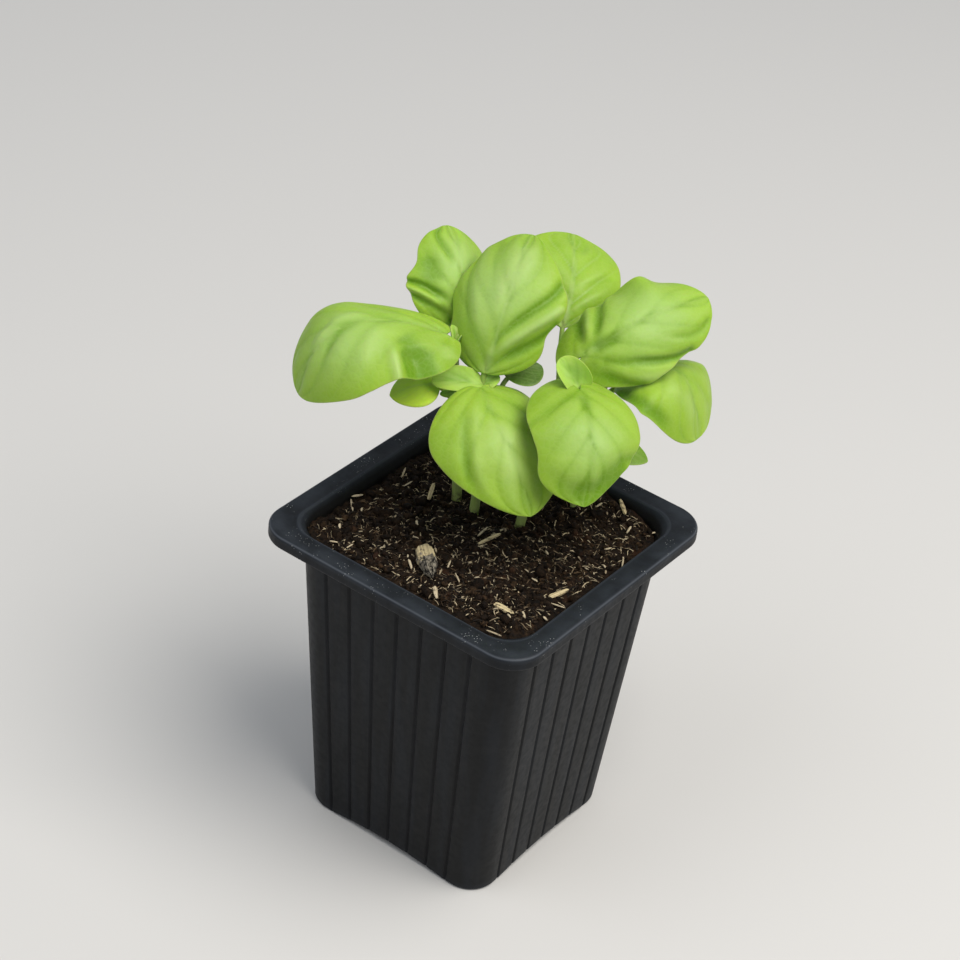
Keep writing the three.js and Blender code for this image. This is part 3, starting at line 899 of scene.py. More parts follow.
@dataclass
class Pot:
    """The nursery pot: one thin wall with grooved sides under a flat, turned-down rim."""

    height: float = 88.0
    rim_half: float = 40.0
    rim_corner: float = 9.0
    top_half: float = 33.8
    top_corner: float = 9.0
    foot_half: float = 28.1
    foot_round: float = 0.9
    wall: float = 1.2
    floor_top: float = 3.5
    floor_margin: float = 4.0
    floor_corner: float = 8.0
    floor_fillet: float = 2.0
    lip_depth: float = 3.4
    lip_wall: float = 1.3
    lip_round: float = 0.9
    lip_fillet: float = 0.4
    mouth_half: float = 34.2
    groove_pitch: float = 0.22
    grooves: int = 7
    groove_width: float = 1.3
    groove_depth: float = 0.6
    groove_top: float = 79.0
    arch_half: float = 18.0
    arch_rise: float = 1.3
    arch_reach: float = 12.0
    drain_radius: float = 3.5
    drain_spread: float = 14.0
    drill_length: float = 12.0
    drill_middle: float = 2.0
    soil_line: float = 0.6
    soil_fade: float = 1.5
    soil_most: float = 0.85
    corner_steps: int = 16

    @property
    def shoulder(self) -> float:
        """The height at which the body meets the rim."""
        return self.height - self.lip_depth

    @property
    def throat(self) -> float:
        """Half the hollow's width at the shoulder."""
        return self.body_half(self.shoulder) - self.wall

    def body_half(self, z: float | Array) -> float | Array:
        """Gives half the body's width at a height."""
        return self.foot_half + (self.top_half - self.foot_half) * z / self.shoulder

    def side_places(self) -> tuple[Array, Array]:
        """Lays out the points along one side.

        Returns:
            Each point's place from -1 to 1 along the side's flat, and its share of a groove's depth.
        """
        flat = self.top_half - self.top_corner
        middles = (np.arange(self.grooves) - (self.grooves - 1) / 2) * self.groove_pitch * self.top_half
        half = np.array([0.06, 0.18, 0.36, 0.5, 0.62])
        across = np.concatenate([-half[::-1], half]) * self.groove_width
        depth = smooth_step(0.56, 0.0, np.abs(across) / self.groove_width)
        places = np.concatenate([middle + across for middle in middles])
        depths = np.tile(depth, self.grooves)
        between = (middles[:-1] + middles[1:]) / 2
        spare = np.concatenate([between - 1.6, between, between + 1.6, [-flat, flat]])
        order = np.argsort(np.concatenate([places, spare]))
        places = np.concatenate([places, spare])[order] / flat
        return places, np.concatenate([depths, np.zeros(len(spare))])[order]

    def ring_points(self, ring: Ring) -> Array:
        """Lays one ring of points round the pot.

        Args:
            ring: The ring.

        Returns:
            The ring's points.
        """
        half, corner = ring.half, ring.corner
        places, depths = self.side_places()
        flat = half - corner
        along = places * flat
        out = half - depths * ring.groove * self.groove_depth * half / self.top_half
        angles = np.linspace(0, math.pi / 2, self.corner_steps + 1)[1:-1]
        bend = np.stack([flat + corner * np.cos(angles), flat + corner * np.sin(angles)], -1)
        side = np.concatenate([np.stack([out, along], -1), bend])
        turns = [(math.cos(k * math.pi / 2), math.sin(k * math.pi / 2)) for k in range(4)]
        flat_ring = np.concatenate([side @ np.array([[c, s], [-s, c]]) for c, s in turns])
        return np.column_stack([flat_ring, np.full(len(flat_ring), ring.z)])

    def body_ring(self, z: float, inset: float = 0.0, groove: float = 0.0, arris: float = 0.0) -> Ring:
        """Shapes a ring of the tapering body.

        Args:
            z: Its height.
            inset: How far it lies inside the body's outer face.
            groove: How much of the grooves' depth is cut here.
            arris: How worn it is, which also sets its painted highlight.

        Returns:
            The ring.
        """
        half = self.body_half(z) - inset
        return Ring(z, half, self.top_corner * half / self.top_half, groove, arris)

    def rim_ring(self, z: float, half: float, arris: float = 0.0, specks: float = 0.0) -> Ring:
        """Shapes a ring of the rim, with a corner as much smaller as the ring is.

        Args:
            z: Its height.
            half: Half its width.
            arris: How worn it is, which also sets its painted highlight.
            specks: How many specks it has.

        Returns:
            The ring.
        """
        return Ring(z, half, self.rim_corner - (self.rim_half - half), 0.0, arris, specks)

    def outside(self) -> list[Ring]:
        """Lists the rings from the middle of the underside, round the foot and up the grooved sides."""
        rings = [Ring(0.0, self.foot_half * share, self.top_corner * share)
                 for share in (0.02, 0.2, 0.4, 0.58, 0.7, 0.8, 0.88, 0.94)]
        for share in np.linspace(0, 1, 6):
            rise = self.foot_round * (1 - math.cos(share * math.pi / 2))
            inset = self.foot_round * (1 - math.sin(share * math.pi / 2))
            rings.append(self.body_ring(rise, inset, groove=0.6 * share, arris=0.5))
        for z in np.linspace(2.5, self.groove_top - 3, 26):
            rings.append(self.body_ring(z, groove=1.0))
        for z, groove in ((-2.0, 1.0), (-1.0, 0.9), (-0.4, 0.5), (0.0, 0.12), (0.5, 0.0)):
            rings.append(self.body_ring(self.groove_top + z, groove=groove))
        return [*rings, self.body_ring(self.shoulder)]

    def rim(self) -> list[Ring]:
        """Lists the rings under the rim, round its lower edge, up its wall and over its worn flat."""
        under, inner = self.height - self.lip_wall, self.rim_half - self.lip_wall
        edge = self.shoulder + self.lip_fillet
        rings = [self.rim_ring(under - self.lip_fillet, self.top_half),
                 self.rim_ring(under, self.top_half + self.lip_fillet), self.rim_ring(under, inner - 0.5),
                 self.rim_ring(under - 0.5, inner), self.rim_ring(edge, inner)]
        for angle in np.linspace(0, math.pi, 7):
            half = self.rim_half - self.lip_wall / 2 * (1 + math.cos(angle))
            z = edge - self.lip_fillet * math.sin(angle)
            rings.append(self.rim_ring(z, half, arris=0.15, specks=0.2))
        for share in (0.35, 0.7):
            z = self.shoulder + share * (self.lip_depth - self.lip_round)
            rings.append(self.rim_ring(z, self.rim_half, arris=0.1, specks=0.15))
        for angle in np.linspace(0, math.pi / 2, 8):
            half = self.rim_half - self.lip_round * (1 - math.cos(angle))
            z = self.height - self.lip_round * (1 - math.sin(angle))
            # Painted highlight: the arris mark peaks halfway round the outer rounding, drawing a narrow
            # bright line there.
            rings.append(self.rim_ring(z, half, arris=0.3 + 0.7 * math.sin(2 * angle) ** 2, specks=0.9))
        for drop, half, arris, specks in (
                (0.10, 38.4, 0.15, 1.0), (0.16, 37.4, 0.15, 0.8), (0.18, 36.2, 0.15, 0.45),
                (0.12, 35.2, 0.15, 0.2), (0.04, 34.8, 0.75, 0.15), (0.10, 34.5, 0.75, 0.2),
                (0.35, 34.26, 0.75, 0.2)):
            corner = self.rim_corner - (self.rim_half - half) * 0.2
            rings.append(Ring(self.height - drop, half, corner, 0.0, arris, specks))
        return rings

    def inside(self) -> list[Ring]:
        """Lists the rings from the mouth down the hollow to the middle of its floor."""
        rings = []
        for share in (0.75, 0.5, 0.25, 0.0):
            half = self.throat + (self.mouth_half - self.throat) * share
            corner = self.top_corner * half / self.top_half
            rings.append(Ring(self.shoulder + share * self.lip_depth, half, corner, arris=0.1, specks=0.2))
        for z in np.linspace(self.shoulder - 3, self.floor_top + self.floor_fillet, 12):
            rings.append(self.body_ring(z, self.wall))
        for angle in np.linspace(0, math.pi / 2, 6)[1:]:
            z = self.floor_top + self.floor_fillet * (1 - math.sin(angle))
            rings.append(self.body_ring(z, self.wall + self.floor_fillet * (1 - math.cos(angle))))
        for share in (0.85, 0.6, 0.3, 0.02):
            half = (self.foot_half - self.floor_margin) * share
            rings.append(Ring(self.floor_top, half, self.floor_corner * share))
        return rings

    def skin(self) -> Skin:
        """Wraps the pot's wall in one closed skin, with the arches under its foot."""
        seen, hollow = [*self.outside(), *self.rim()], self.inside()
        rings = [*seen, *hollow]
        points = np.array([self.ring_points(ring) for ring in rings])
        count = points.shape[1]
        points = points.reshape(-1, 3)
        along = np.minimum(np.abs(points[:, 0]), np.abs(points[:, 1]))
        inward = self.foot_half - np.maximum(np.abs(points[:, 0]), np.abs(points[:, 1]))
        arch = self.arch_rise * np.clip(1 - (along / self.arch_half) ** 2, 0, 1)
        near = smooth_step(self.arch_reach, self.arch_reach - 3, inward)
        points[:, 2] += arch * near * smooth_step(3.2, 1.2, points[:, 2])
        depths = np.array([self.height - self.soil_line - ring.z for ring in hollow])
        within = np.concatenate([np.zeros(len(seen)), np.clip(depths / self.soil_fade, 0, self.soil_most)])
        marks = {"arris": np.repeat([ring.arris for ring in rings], count),
                 "specks": np.repeat([ring.specks for ring in rings], count),
                 "within": smooth_step(0.0, 1.0, np.repeat(within, count))}
        return Skin(points, closed_faces(len(rings), count), marks)

    def drain(self, made: bpy.types.Object) -> None:
        """Cuts the four drain holes through the floor of the finished pot.

        Args:
            made: The pot's object, whose mesh is replaced by the cut one.
        """
        radius, spread, cutters = self.drain_radius * MM, self.drain_spread * MM, []
        for corner in range(4):
            turn = math.pi / 4 + corner * math.pi / 2
            work = bmesh.new()
            bmesh.ops.create_cone(work, cap_ends=True, segments=40, radius1=radius, radius2=radius,
                                  depth=self.drill_length * MM)
            shift = (spread * math.cos(turn), spread * math.sin(turn), self.drill_middle * MM)
            bmesh.ops.translate(work, vec=shift, verts=work.verts)
            mesh = bpy.data.meshes.new("drain_cutter")
            work.to_mesh(mesh)
            work.free()
            cutter = bpy.data.objects.new("drain_cutter", mesh)
            bpy.context.collection.objects.link(cutter)
            cut = made.modifiers.new("drain", "BOOLEAN")
            cut.operation, cut.object, cut.solver = "DIFFERENCE", cutter, "EXACT"
            cutters.append(cutter)
        seen = made.evaluated_get(bpy.context.evaluated_depsgraph_get())
        whole = bpy.data.meshes.new_from_object(seen)
        made.modifiers.clear()
        made.data = whole
        for cutter in cutters:
            bpy.data.objects.remove(cutter)

    def build(self) -> None:
        """Makes and dresses the pot."""
        made = add_piece("nursery_pot", self.skin(), PotPlastic().material(), ["pot"])
        self.drain(made)
        log.info("nursery_pot: drained, %d faces", len(made.data.polygons))


# ------------------------------------------------------------------ peat


@dataclass(frozen=True)
class Mound:
    """A soft heap, or below 0 a hollow, in the peat's level."""

    x: float
    y: float
    reach: float
    rise: float


def seeded_draws(seed: int, count: int) -> Array:
    """Draws the same stream of numbers as the solids' maker does, so that the peat's lumps agree.

    Args:
        seed: Where the stream starts.
        count: How many numbers are wanted.

    Returns:
        Numbers from 0 to 1.
    """
    state, drawn = seed, []
    for _ in range(count):
        state = (state + STREAM_STEP) & WORD
        mixed = ((state ^ (state >> 15)) * (state | 1)) & WORD
        mixed ^= (mixed + ((mixed ^ (mixed >> 7)) * (mixed | 61) & WORD)) & WORD
        drawn.append(((mixed ^ (mixed >> 14)) & WORD) / (WORD + 1))
    return np.array(drawn)


@dataclass(frozen=True)
class Chip:
    """A split chip of wood bedded in the peat, with crusty bark over part of its length."""

    node: str
    middle: tuple[float, float]
    length: float
    width: float
    thick: float
    heading: float
    ends: tuple[float, float] = (0.5, 0.4)
    tilt: float = 0.0
    rise: float = 0.4
    bark_from: float = 2.0
    tint: float = 0.1
    seed: int = 1
    stations: int = 72
    sides: int = 40

    def skin(self, ground: float) -> Skin:
        """Makes the chip: squarish in section, lined along its grain, splintered at its ends.

        Args:
            ground: The peat's height under its middle.

        Returns:
            The chip as one closed skin.
        """
        share = np.linspace(0, 1, self.stations)[:, None]
        angle = np.linspace(0, 2 * math.pi, self.sides, endpoint=False)[None]
        squarish = [np.sign(wave) * np.abs(wave) ** 0.5 for wave in (np.cos(angle), np.sin(angle))]
        near, far = self.ends
        swell = np.interp(share, [0, 0.12, 0.5, 0.9, 1], [near, near + 0.3, 1, min(0.85, far + 0.45), far])
        across = self.width / 2 * swell * squarish[0]
        high = self.thick / 2 * squarish[1] * (1 - 0.6 * np.abs(2 * share - 1) ** 6)
        along = (share - 0.5) * self.length * np.ones_like(across)
        place = np.stack([along, across, high], -1)
        mark = np.full_like(across, self.seed * 13.0)
        lines = rough(np.stack([along * 0.12, across * 1.6 + high * 0.8, mark], -1), 0.8, self.seed, 2)
        lumps = rough(place + mark[..., None], 1.1, self.seed + 3, 3)
        crusty = smooth_step(self.bark_from - 0.03, self.bark_from + 0.03, share + 0.15 * lumps)
        jag = rough(np.stack([across * 1.4, high * 1.4, mark], -1), 0.7, self.seed + 5)
        along = along + 0.24 * self.width * jag * np.abs(2 * share - 1) ** 4 * np.sign(share - 0.5)
        swelling = 1 + (0.10 * lines + 0.05 * lumps) + crusty * (0.55 * lines + 0.35 * lumps)
        high = high * swelling + crusty * 0.1 * self.thick
        edges = rough(np.stack([along, np.sign(across) * 5, mark], -1), 1.6, self.seed + 7, 2)
        across = across * (1 + 0.06 * lines + 0.16 * edges + 0.14 * crusty * lumps)
        lean, turn = math.radians(self.tilt), math.radians(self.heading)
        level = along * math.cos(lean) - high * math.sin(lean)
        lift = along * math.sin(lean) + high * math.cos(lean)
        points = np.stack([self.middle[0] + level * math.cos(turn) - across * math.sin(turn),
                           self.middle[1] + level * math.sin(turn) + across * math.cos(turn),
                           ground + self.rise + lift], -1)
        grain = across * 0.5 + high * 0.25 + mark
        marks = {"tint": np.full(across.size, self.tint), "grain": grain.ravel(), "bark": crusty.ravel()}
        return Skin(points.reshape(-1, 3), closed_faces(self.stations, self.sides), marks)

    def build(self, bed: "PeatBed", wood: bpy.types.Material) -> None:
        """Makes and dresses the chip.

        Args:
            bed: The peat that it lies on.
            wood: Its finish.
        """
        ground = float(bed.height(*(np.array(c) for c in self.middle)))
        add_piece(f"{self.node}_split", self.skin(ground), wood, [self.node])


@dataclass(frozen=True)
class Splinter:
    """One larger splinter on the peat: its middle, length, heading in degrees, width and tint."""

    x: float
    y: float
    length: float
    heading: float
    width: float
    tint: float = 0.05


@dataclass(frozen=True)
class Strands:
    """One kind of thin strand strewn on the peat: how many, how long and thick, and how they bend."""

    count: int
    length: Span
    radius: Span
    wander: float
    squash: float
    sides: int
    steps: int = 8


@dataclass
class PeatBed:
    """The peat: a bed with a crumbly top, loose crumbs, root fibres and splinters lying on it."""

    pot: Pot
    level: float = 84.4
    lump: float = 1.1
    lumps: int = 90
    seed: int = 11
    cell: float = 0.36
    skirt: float = 9.0
    gap: float = 0.12
    lump_size: float = 3.1
    lump_rise: float = 1.36
    grain_size: float = 1.15
    grain_rise: float = 0.357
    corner: float = 7.0
    crumbs: int = 2600
    crumb_least: float = 0.26
    crumb_more: float = 1.1
    crumb_knobs: float = 0.34
    fibres: Strands = Strands(5400, length=(0.6, 3.4), radius=(0.05, 0.16), wander=1.0, squash=0.7, sides=5)
    splinters: Strands = Strands(150, length=(0.8, 2.6), radius=(0.12, 0.30), wander=0.35, squash=0.4,
                                 sides=6)
    laid: tuple[Splinter, ...] = (
        Splinter(-5, -23, 5.5, -40, 0.6), Splinter(2.5, 2, 5.5, 90, 0.55), Splinter(0, -1, 4, 90, 0.55),
        Splinter(2.5, -3.5, 3, 65, 0.5), Splinter(3.5, -5, 5, 75, 0.45),
        Splinter(7, -13, 2.5, 85, 0.5, 0.3), Splinter(7, -20, 4, -35, 0.4, 0.3),
        Splinter(2.5, -17.5, 2.5, 110, 0.4, 0.4), Splinter(-4, -14.5, 3.5, -45, 0.4, 0.5),
        Splinter(30.5, -11.5, 4, 5, 0.45), Splinter(32, -18.5, 1.5, -5, 0.6),
        Splinter(21.5, 9.5, 2, -40, 0.6), Splinter(25, 26, 2.5, 100, 0.6),
        Splinter(26, 15.5, 2.5, 75, 0.55), Splinter(31, 15, 6.5, -60, 0.4, 0.4),
        Splinter(30, 30, 2, 55, 0.5), Splinter(16.5, 3, 2, -40, 0.5), Splinter(15, 27, 2, 75, 0.5, 0.3),
        Splinter(18, 17.5, 1.5, 80, 0.5), Splinter(-32, -10, 3.5, 70, 0.75),
        Splinter(-30.5, -14, 5, -45, 0.45, 0.4), Splinter(-26, 2.5, 3, 85, 0.4, 0.4),
        Splinter(-27.5, -22.5, 3, -45, 0.6, 0.3), Splinter(-19.5, -28, 2.5, 90, 0.4),
        Splinter(-23.5, -29.5, 2, 35, 0.5), Splinter(-30, 5.5, 3.5, 110, 0.4, 0.5),
        Splinter(-13.5, -9.5, 2, -45, 0.75, 0.3), Splinter(7.5, -29, 4, -45, 1.0, 0.5),
        Splinter(21, -8, 1.5, 35, 0.5), Splinter(27, 5, 2, -25, 0.45),
        Splinter(28, -22, 2.5, -40, 0.6, 0.4), Splinter(27, -32, 4, 5, 0.5, 0.5))
    heaps: tuple[Mound, ...] = (Mound(22, -30, 20, 2), Mound(14, 32, 9, 2.2), Mound(33, 33, 9, -1.0),
                                Mound(-33, 5, 14, -0.6), Mound(-12, 7, 8, -1.7), Mound(4, 9, 6, -1.7))

    def __post_init__(self) -> None:
        """Scatters the lumps that the solid peat has."""
        draws = seeded_draws(self.seed, 4 * self.lumps).reshape(-1, 4)
        half = self.pot.mouth_half
        self.mounds = [*self.heaps, *(Mound((a - 0.5) * 2 * half, (b - 0.5) * 2 * half, 2 + 5 * c,
                                            self.lump * (d - 0.35)) for a, b, c, d in draws)]
        self.random = np.random.default_rng(self.seed)

    def height(self, x: Array, y: Array) -> Array:
        """Gives the peat's smooth height at some points.

        Args:
            x: Places along X.
            y: Places along Y.

        Returns:
            The height at each, without crumbs.
        """
        total = np.full(np.shape(x), self.level)
        for mound in self.mounds:
            far = ((x - mound.x) ** 2 + (y - mound.y) ** 2) / mound.reach**2
            total = total + mound.rise * np.exp(-far)
        return total

    def top(self, x: Array, y: Array) -> tuple[Array, Array]:
        """Gives the crumbly top at some points.

        Args:
            x: Places along X.
            y: Places along Y.

        Returns:
            The height, and the tint of the crumb that lies there.
        """
        blank = np.zeros_like(x)
        flat = np.stack([x, y, blank], -1)
        warped = flat + 0.5 * np.stack([rough(flat, 1.3, 3), rough(flat, 1.3, 4), blank], -1)
        from_lump, tint = cells(warped, self.lump_size, 5)
        from_grain, grain_tint = cells(warped, self.grain_size, 9)
        crumb = self.lump_rise * (0.55 - from_lump) * (0.5 + tint)
        crumb += self.grain_rise * (0.55 - from_grain) * (0.4 + grain_tint)
        crumb += 0.255 * rough(flat, 5.0, 21, 2) + 0.119 * rough(flat, 0.7, 22, 2)
        return self.height(x, y) + crumb, 0.35 * tint + 0.65 * grain_tint

    def inner_half(self, z: Array) -> Array:
        """Gives half the width of the pot's hollow, less the gap that the peat keeps.

        Args:
            z: Heights.

        Returns:
            The half width at each.
        """
        pot = self.pot
        share = (z - pot.shoulder) / pot.lip_depth
        above = pot.throat + (pot.mouth_half - pot.throat) * share
        below = pot.body_half(z) - pot.wall
        return np.where(share > 0, above, below) - self.gap

    def held_in(self, x: Array, y: Array, z: Array) -> tuple[Array, Array]:
        """Draws points that lie outside the pot's hollow back to its wall.

        Args:
            x: Places along X.
            y: Places along Y.
            z: Their heights.

        Returns:
            The places along X and Y, all inside the hollow.
        """
        half = self.inner_half(z)
        flat = half * (1 - self.pot.top_corner / self.pot.top_half)
        out_x, out_y = np.maximum(np.abs(x) - flat, 0), np.maximum(np.abs(y) - flat, 0)
        far = np.hypot(out_x, out_y)
        share = np.minimum(1, (half - flat) / np.maximum(far, TINY))
        held_x = np.sign(x) * (np.minimum(np.abs(x), flat) + out_x * share)
        held_y = np.sign(y) * (np.minimum(np.abs(y), flat) + out_y * share)
        return held_x, held_y

    def bed(self) -> Skin:
        """Makes the bed: its crumbly top, a skirt that goes down inside the pot, and a plain bottom."""
        steps = int(2 * self.pot.mouth_half / self.cell) + 1
        line = np.linspace(-self.pot.mouth_half, self.pot.mouth_half, steps)
        x, y = (grid.ravel() for grid in np.meshgrid(line, line, indexing="ij"))
        z, tint = self.top(x, y)
        x, y = self.held_in(x, y, z)
        z, tint = self.top(x, y)
        index = np.arange(steps * steps).reshape(steps, steps)
        quads = np.stack([index[:-1, :-1], index[1:, :-1], index[1:, 1:], index[:-1, 1:]], -1).reshape(-1, 4)
        edge = np.concatenate([index[:-1, 0], index[-1, :-1], index[:0:-1, -1], index[0, :0:-1]])
        low_z = z[edge] - self.skirt
        low_x, low_y = self.held_in(x[edge], y[edge], low_z)
        points = np.concatenate([np.column_stack([x, y, z]), np.column_stack([low_x, low_y, low_z])])
        base = steps * steps
        around = np.arange(len(edge))
        following = (around + 1) % len(edge)
        skirt = np.stack([edge[around], base + around, base + following, edge[following]], -1)
        faces = quads.tolist() + skirt.tolist() + [(base + around)[::-1].tolist()]
        return Skin(points, faces, {"tint": np.concatenate([tint, tint[edge]])})

    def scatter(self, count: int, margin: float) -> tuple[Array, Array]:
        """Draws places on the peat, some way in from the pot's wall.

        Args:
            count: How many places are drawn.
            margin: How far from the wall they stay.

        Returns:
            The places along X and Y, less those that fell into a corner's outside.
        """
        half = self.pot.throat - margin
        x, y = self.random.uniform(-half, half, (2, count))
        past_x, past_y = (np.maximum(np.abs(line) - half + self.corner, 0) for line in (x, y))
        keep = np.hypot(past_x, past_y) < self.corner
        return x[keep], y[keep]

    def crumb_skin(self) -> Skin:
        """Makes the loose crumbs, each a knobbly lump half sunk in the bed."""
        work = bmesh.new()
        bmesh.ops.create_icosphere(work, subdivisions=2, radius=1.0)
        ball = np.array([v.co for v in work.verts])
        ball_faces = [[v.index for v in f.verts] for f in work.faces]
        work.free()
        x, y = self.scatter(self.crumbs, 1.3)
        z, _ = self.top(x, y)
        skins = []
        for place in np.column_stack([x, y, z]):
            size = self.crumb_least + self.crumb_more * self.random.random() ** 4
            shape = ball * (1 + self.crumb_knobs * rough(ball + place, 0.75, 31, 2))[:, None]
            shape = shape * self.random.uniform(0.6, 1.25, 3) * size
            turn = self.random.uniform(0, 2 * math.pi)
            shape = turned(shape, UP, np.full(len(ball), turn))
            shape = turned(shape, ALONG_X, np.full(len(ball), self.random.uniform(-1, 1)))
            tint = np.full(len(ball), self.random.random())
            skins.append(Skin(place + shape + UP * size * 0.15, ball_faces, {"tint": tint}))
        return joined(skins)

    def strand_skins(self, kind: Strands) -> list[Skin]:
        """Makes thin strands that lie on the peat.

        Args:
            kind: Their number, sizes and bend, in radians along the length.

        Returns:
            One skin for each strand that lies inside the pot.
        """
        x, y = self.scatter(kind.count, 1.6)
        n, steps, sides = len(x), kind.steps, kind.sides
        run = kind.length[0] + (kind.length[1] - kind.length[0]) * self.random.random(n) ** 2.2
        heading = self.random.uniform(0, 2 * math.pi, n)[:, None] + np.cumsum(
            self.random.normal(0, kind.wander / steps, (n, steps)), 1)
        move = (run / steps)[:, None]
        path_x = np.cumsum(np.cos(heading) * move, 1)
        path_y = np.cumsum(np.sin(heading) * move, 1)
        path_x += x[:, None] - path_x[:, steps // 2, None]
        path_y += y[:, None] - path_y[:, steps // 2, None]
        thick = kind.radius[0] + (kind.radius[1] - kind.radius[0]) * self.random.random(n) ** 2
        ground, _ = self.top(path_x, path_y)
        line = ground.mean(1, keepdims=True) * 0.6 + ground * 0.4
        lean = self.random.normal(0, 0.10, n)[:, None] * np.linspace(-1, 1, steps) * run[:, None]
        bow = np.sin(np.linspace(0, math.pi, steps))
        arc = self.random.uniform(0, 0.14, n)[:, None] * run[:, None] * bow
        path_z = line + thick[:, None] + 0.18 + lean + arc
        path_x, path_y = self.held_in(path_x, path_y, np.minimum(path_z, self.pot.height))
        tints = self.random.random(n)
        ends = np.sqrt(np.clip(1 - np.abs(np.linspace(-1, 1, steps)) ** 5 * 0.75, 0, 1))
        skins = []
        for k in range(n):
            path = np.column_stack([path_x[k], path_y[k], path_z[k]])
            skin = tube(path, thick[k] * ends, sides, kind.squash)
            grain = np.tile(np.arange(sides) / sides, steps) * 2 + tints[k] * 40
            skin.marks = {"tint": np.full(len(skin.points), tints[k]), "grain": grain, "bark": 0 * grain}
            skins.append(skin)
        return skins

    def laid_skins(self) -> list[Skin]:
        """Makes the larger splinters, each laid where it was chosen to lie."""
        skins, steps, sides = [], 14, 10
        share = np.linspace(0, 1, steps)
        for k, lying in enumerate(self.laid):
            turn, run = math.radians(lying.heading), (share - 0.5) * lying.length
            x, y = lying.x + run * math.cos(turn), lying.y + run * math.sin(turn)
            ground, _ = self.top(x, y)
            rest = np.polyval(np.polyfit(share, ground, 1), share)
            path = np.column_stack([x, y, rest + 0.55 + 0.3 * lying.width])
            path[:, :2] += 0.12 * rough(path * 0.5 + k, 2.0, k)[:, None]
            taper = 1.1 - 0.75 * np.abs(2 * share - 1) ** 4
            skin = tube(path, lying.width / 2 * taper * (1 + 0.15 * rough(path, 0.9, k)), sides, squash=0.5)
            grain = np.tile(np.arange(sides) / sides, steps) * 1.5 + k
            skin.marks = {"tint": np.full(len(skin.points), lying.tint), "grain": grain, "bark": 0 * grain}
            skins.append(skin)
        return skins

    def chips(self) -> list[Chip]:
        """Lists the six chips that the solids have."""
        return [
            Chip("bark_chip", (-1.8, -20.5), 13.4, 4.4, 2.3, -43, (0.6, 0.1), tilt=6, rise=1.1,
                 bark_from=0.50, tint=0.0, seed=2, stations=110, sides=56),
            Chip("wood_sliver_centre", (3.2, -2.4), 6.6, 1.0, 0.6, 75, tilt=5, rise=1.0, tint=0.2, seed=3),
            Chip("wood_chip_front", (23.4, -23.4), 5.2, 1.7, 0.8, 8, (0.6, 0.1), tilt=-6, rise=0.6,
                 tint=0.0, seed=4),
            Chip("wood_chip_right", (28.2, -7.6), 5.6, 1.5, 0.8, 73, (0.8, 0.1), tilt=4, rise=0.7,
                 tint=0.0, seed=5),
            Chip("wood_sliver_back", (19.4, 31.0), 6.3, 1.1, 0.8, -42, (0.4, 0.3), rise=0.8, tint=0.15,
                 seed=6),
            Chip("wood_sliver_left", (-20.4, 4.7), 7.0, 1.2, 0.8, -63, (0.5, 0.6), rise=0.8, tint=0.35,
                 seed=7),
        ]

    def build(self) -> None:
        """Makes and dresses the peat."""
        add_piece("peat_bed", self.bed(), Peat("peat").material(), ["soil"])
        add_piece("peat_crumbs", self.crumb_skin(), Peat("peat_crumb").material())
        fibres = self.strand_skins(self.fibres)
        add_piece("peat_fibres", joined(fibres), RootFibre("peat_fibre").material())
        splinters = self.strand_skins(self.splinters)
        wood = DryWood("splinter").material()
        add_piece("peat_splinters", joined(splinters + self.laid_skins()), wood)
        chip_wood = DryWood("chip_wood", pale=(0.68, 0.56, 0.31)).material()
        for chip in self.chips():
            chip.build(self, chip_wood)


# ------------------------------------------------------------------ stems and leaves

LEAF_MARKS = ("vein", "painted_crease_shade", "crest", "painted_highlight", "rim", "under")


@dataclass(frozen=True)
class Fold:
    """A soft ridge in a blade, or below 0 a crease, along two or three places (u, v) of the blade."""

    line: tuple[tuple[float, float], ...]
    height: float
    width: float

    def lay(self, blade: "Blade", across: Array, along: Array) -> Array:
        """Works out the fold's height all over the blade.

        Args:
            blade: The blade that it lies in.
            across: Each point's distance from the midrib, in millimetres.
            along: Each point's distance from the blade's foot, in millimetres.

        Returns:
            The height that the fold adds at each point.
        """
        share = np.linspace(0, 1, 17)[:, None]
        knots = np.array(self.line)
        if len(knots) == 3:
            middle = 2 * knots[1] - (knots[0] + knots[2]) / 2
            line = arched(share, knots[0], middle, knots[2])
        else:
            line = knots[0] + (knots[1] - knots[0]) * share
        half = blade.width / 2 * blade.outline(np.clip(line[:, 0], 0.001, 0.999))
        way = np.stack([line[:, 1] * half, line[:, 0] * blade.length], -1)
        spot = np.stack([across, along], -1)
        nearest, strength = np.full(across.shape, np.inf), np.zeros(across.shape)
        for k, (a, b) in enumerate(zip(way[:-1], way[1:])):
            step = b - a
            t = np.clip(((spot - a) @ step) / max(step @ step, TINY), 0, 1)
            far = np.linalg.norm(spot - a - t[..., None] * step, axis=-1)
            closer = far < nearest
            nearest = np.where(closer, far, nearest)
            done = (k + t) / (len(way) - 1)
            begun = 1.0 if abs(self.line[0][1]) > 0.9 else smooth_step(0, 0.3, done)
            strength = np.where(closer, begun * (1 - 0.7 * smooth_step(0.6, 1, done)), strength)
        return self.height * strength * np.exp(-((nearest / self.width) ** 2))


@dataclass(frozen=True)
class Wave:
    """A bump in a blade's margin: where it is, and how far it goes outward and upward."""

    u: float
    side: int
    reach: float
    out: float = 0.0
    up: float = 0.0

    def near(self, u: Array, v: Array) -> Array:
        """Gives the bump's share at each point of its own half of the blade."""
        return np.exp(-(((u - self.u) / self.reach) ** 2)) * (np.sign(v) == self.side)


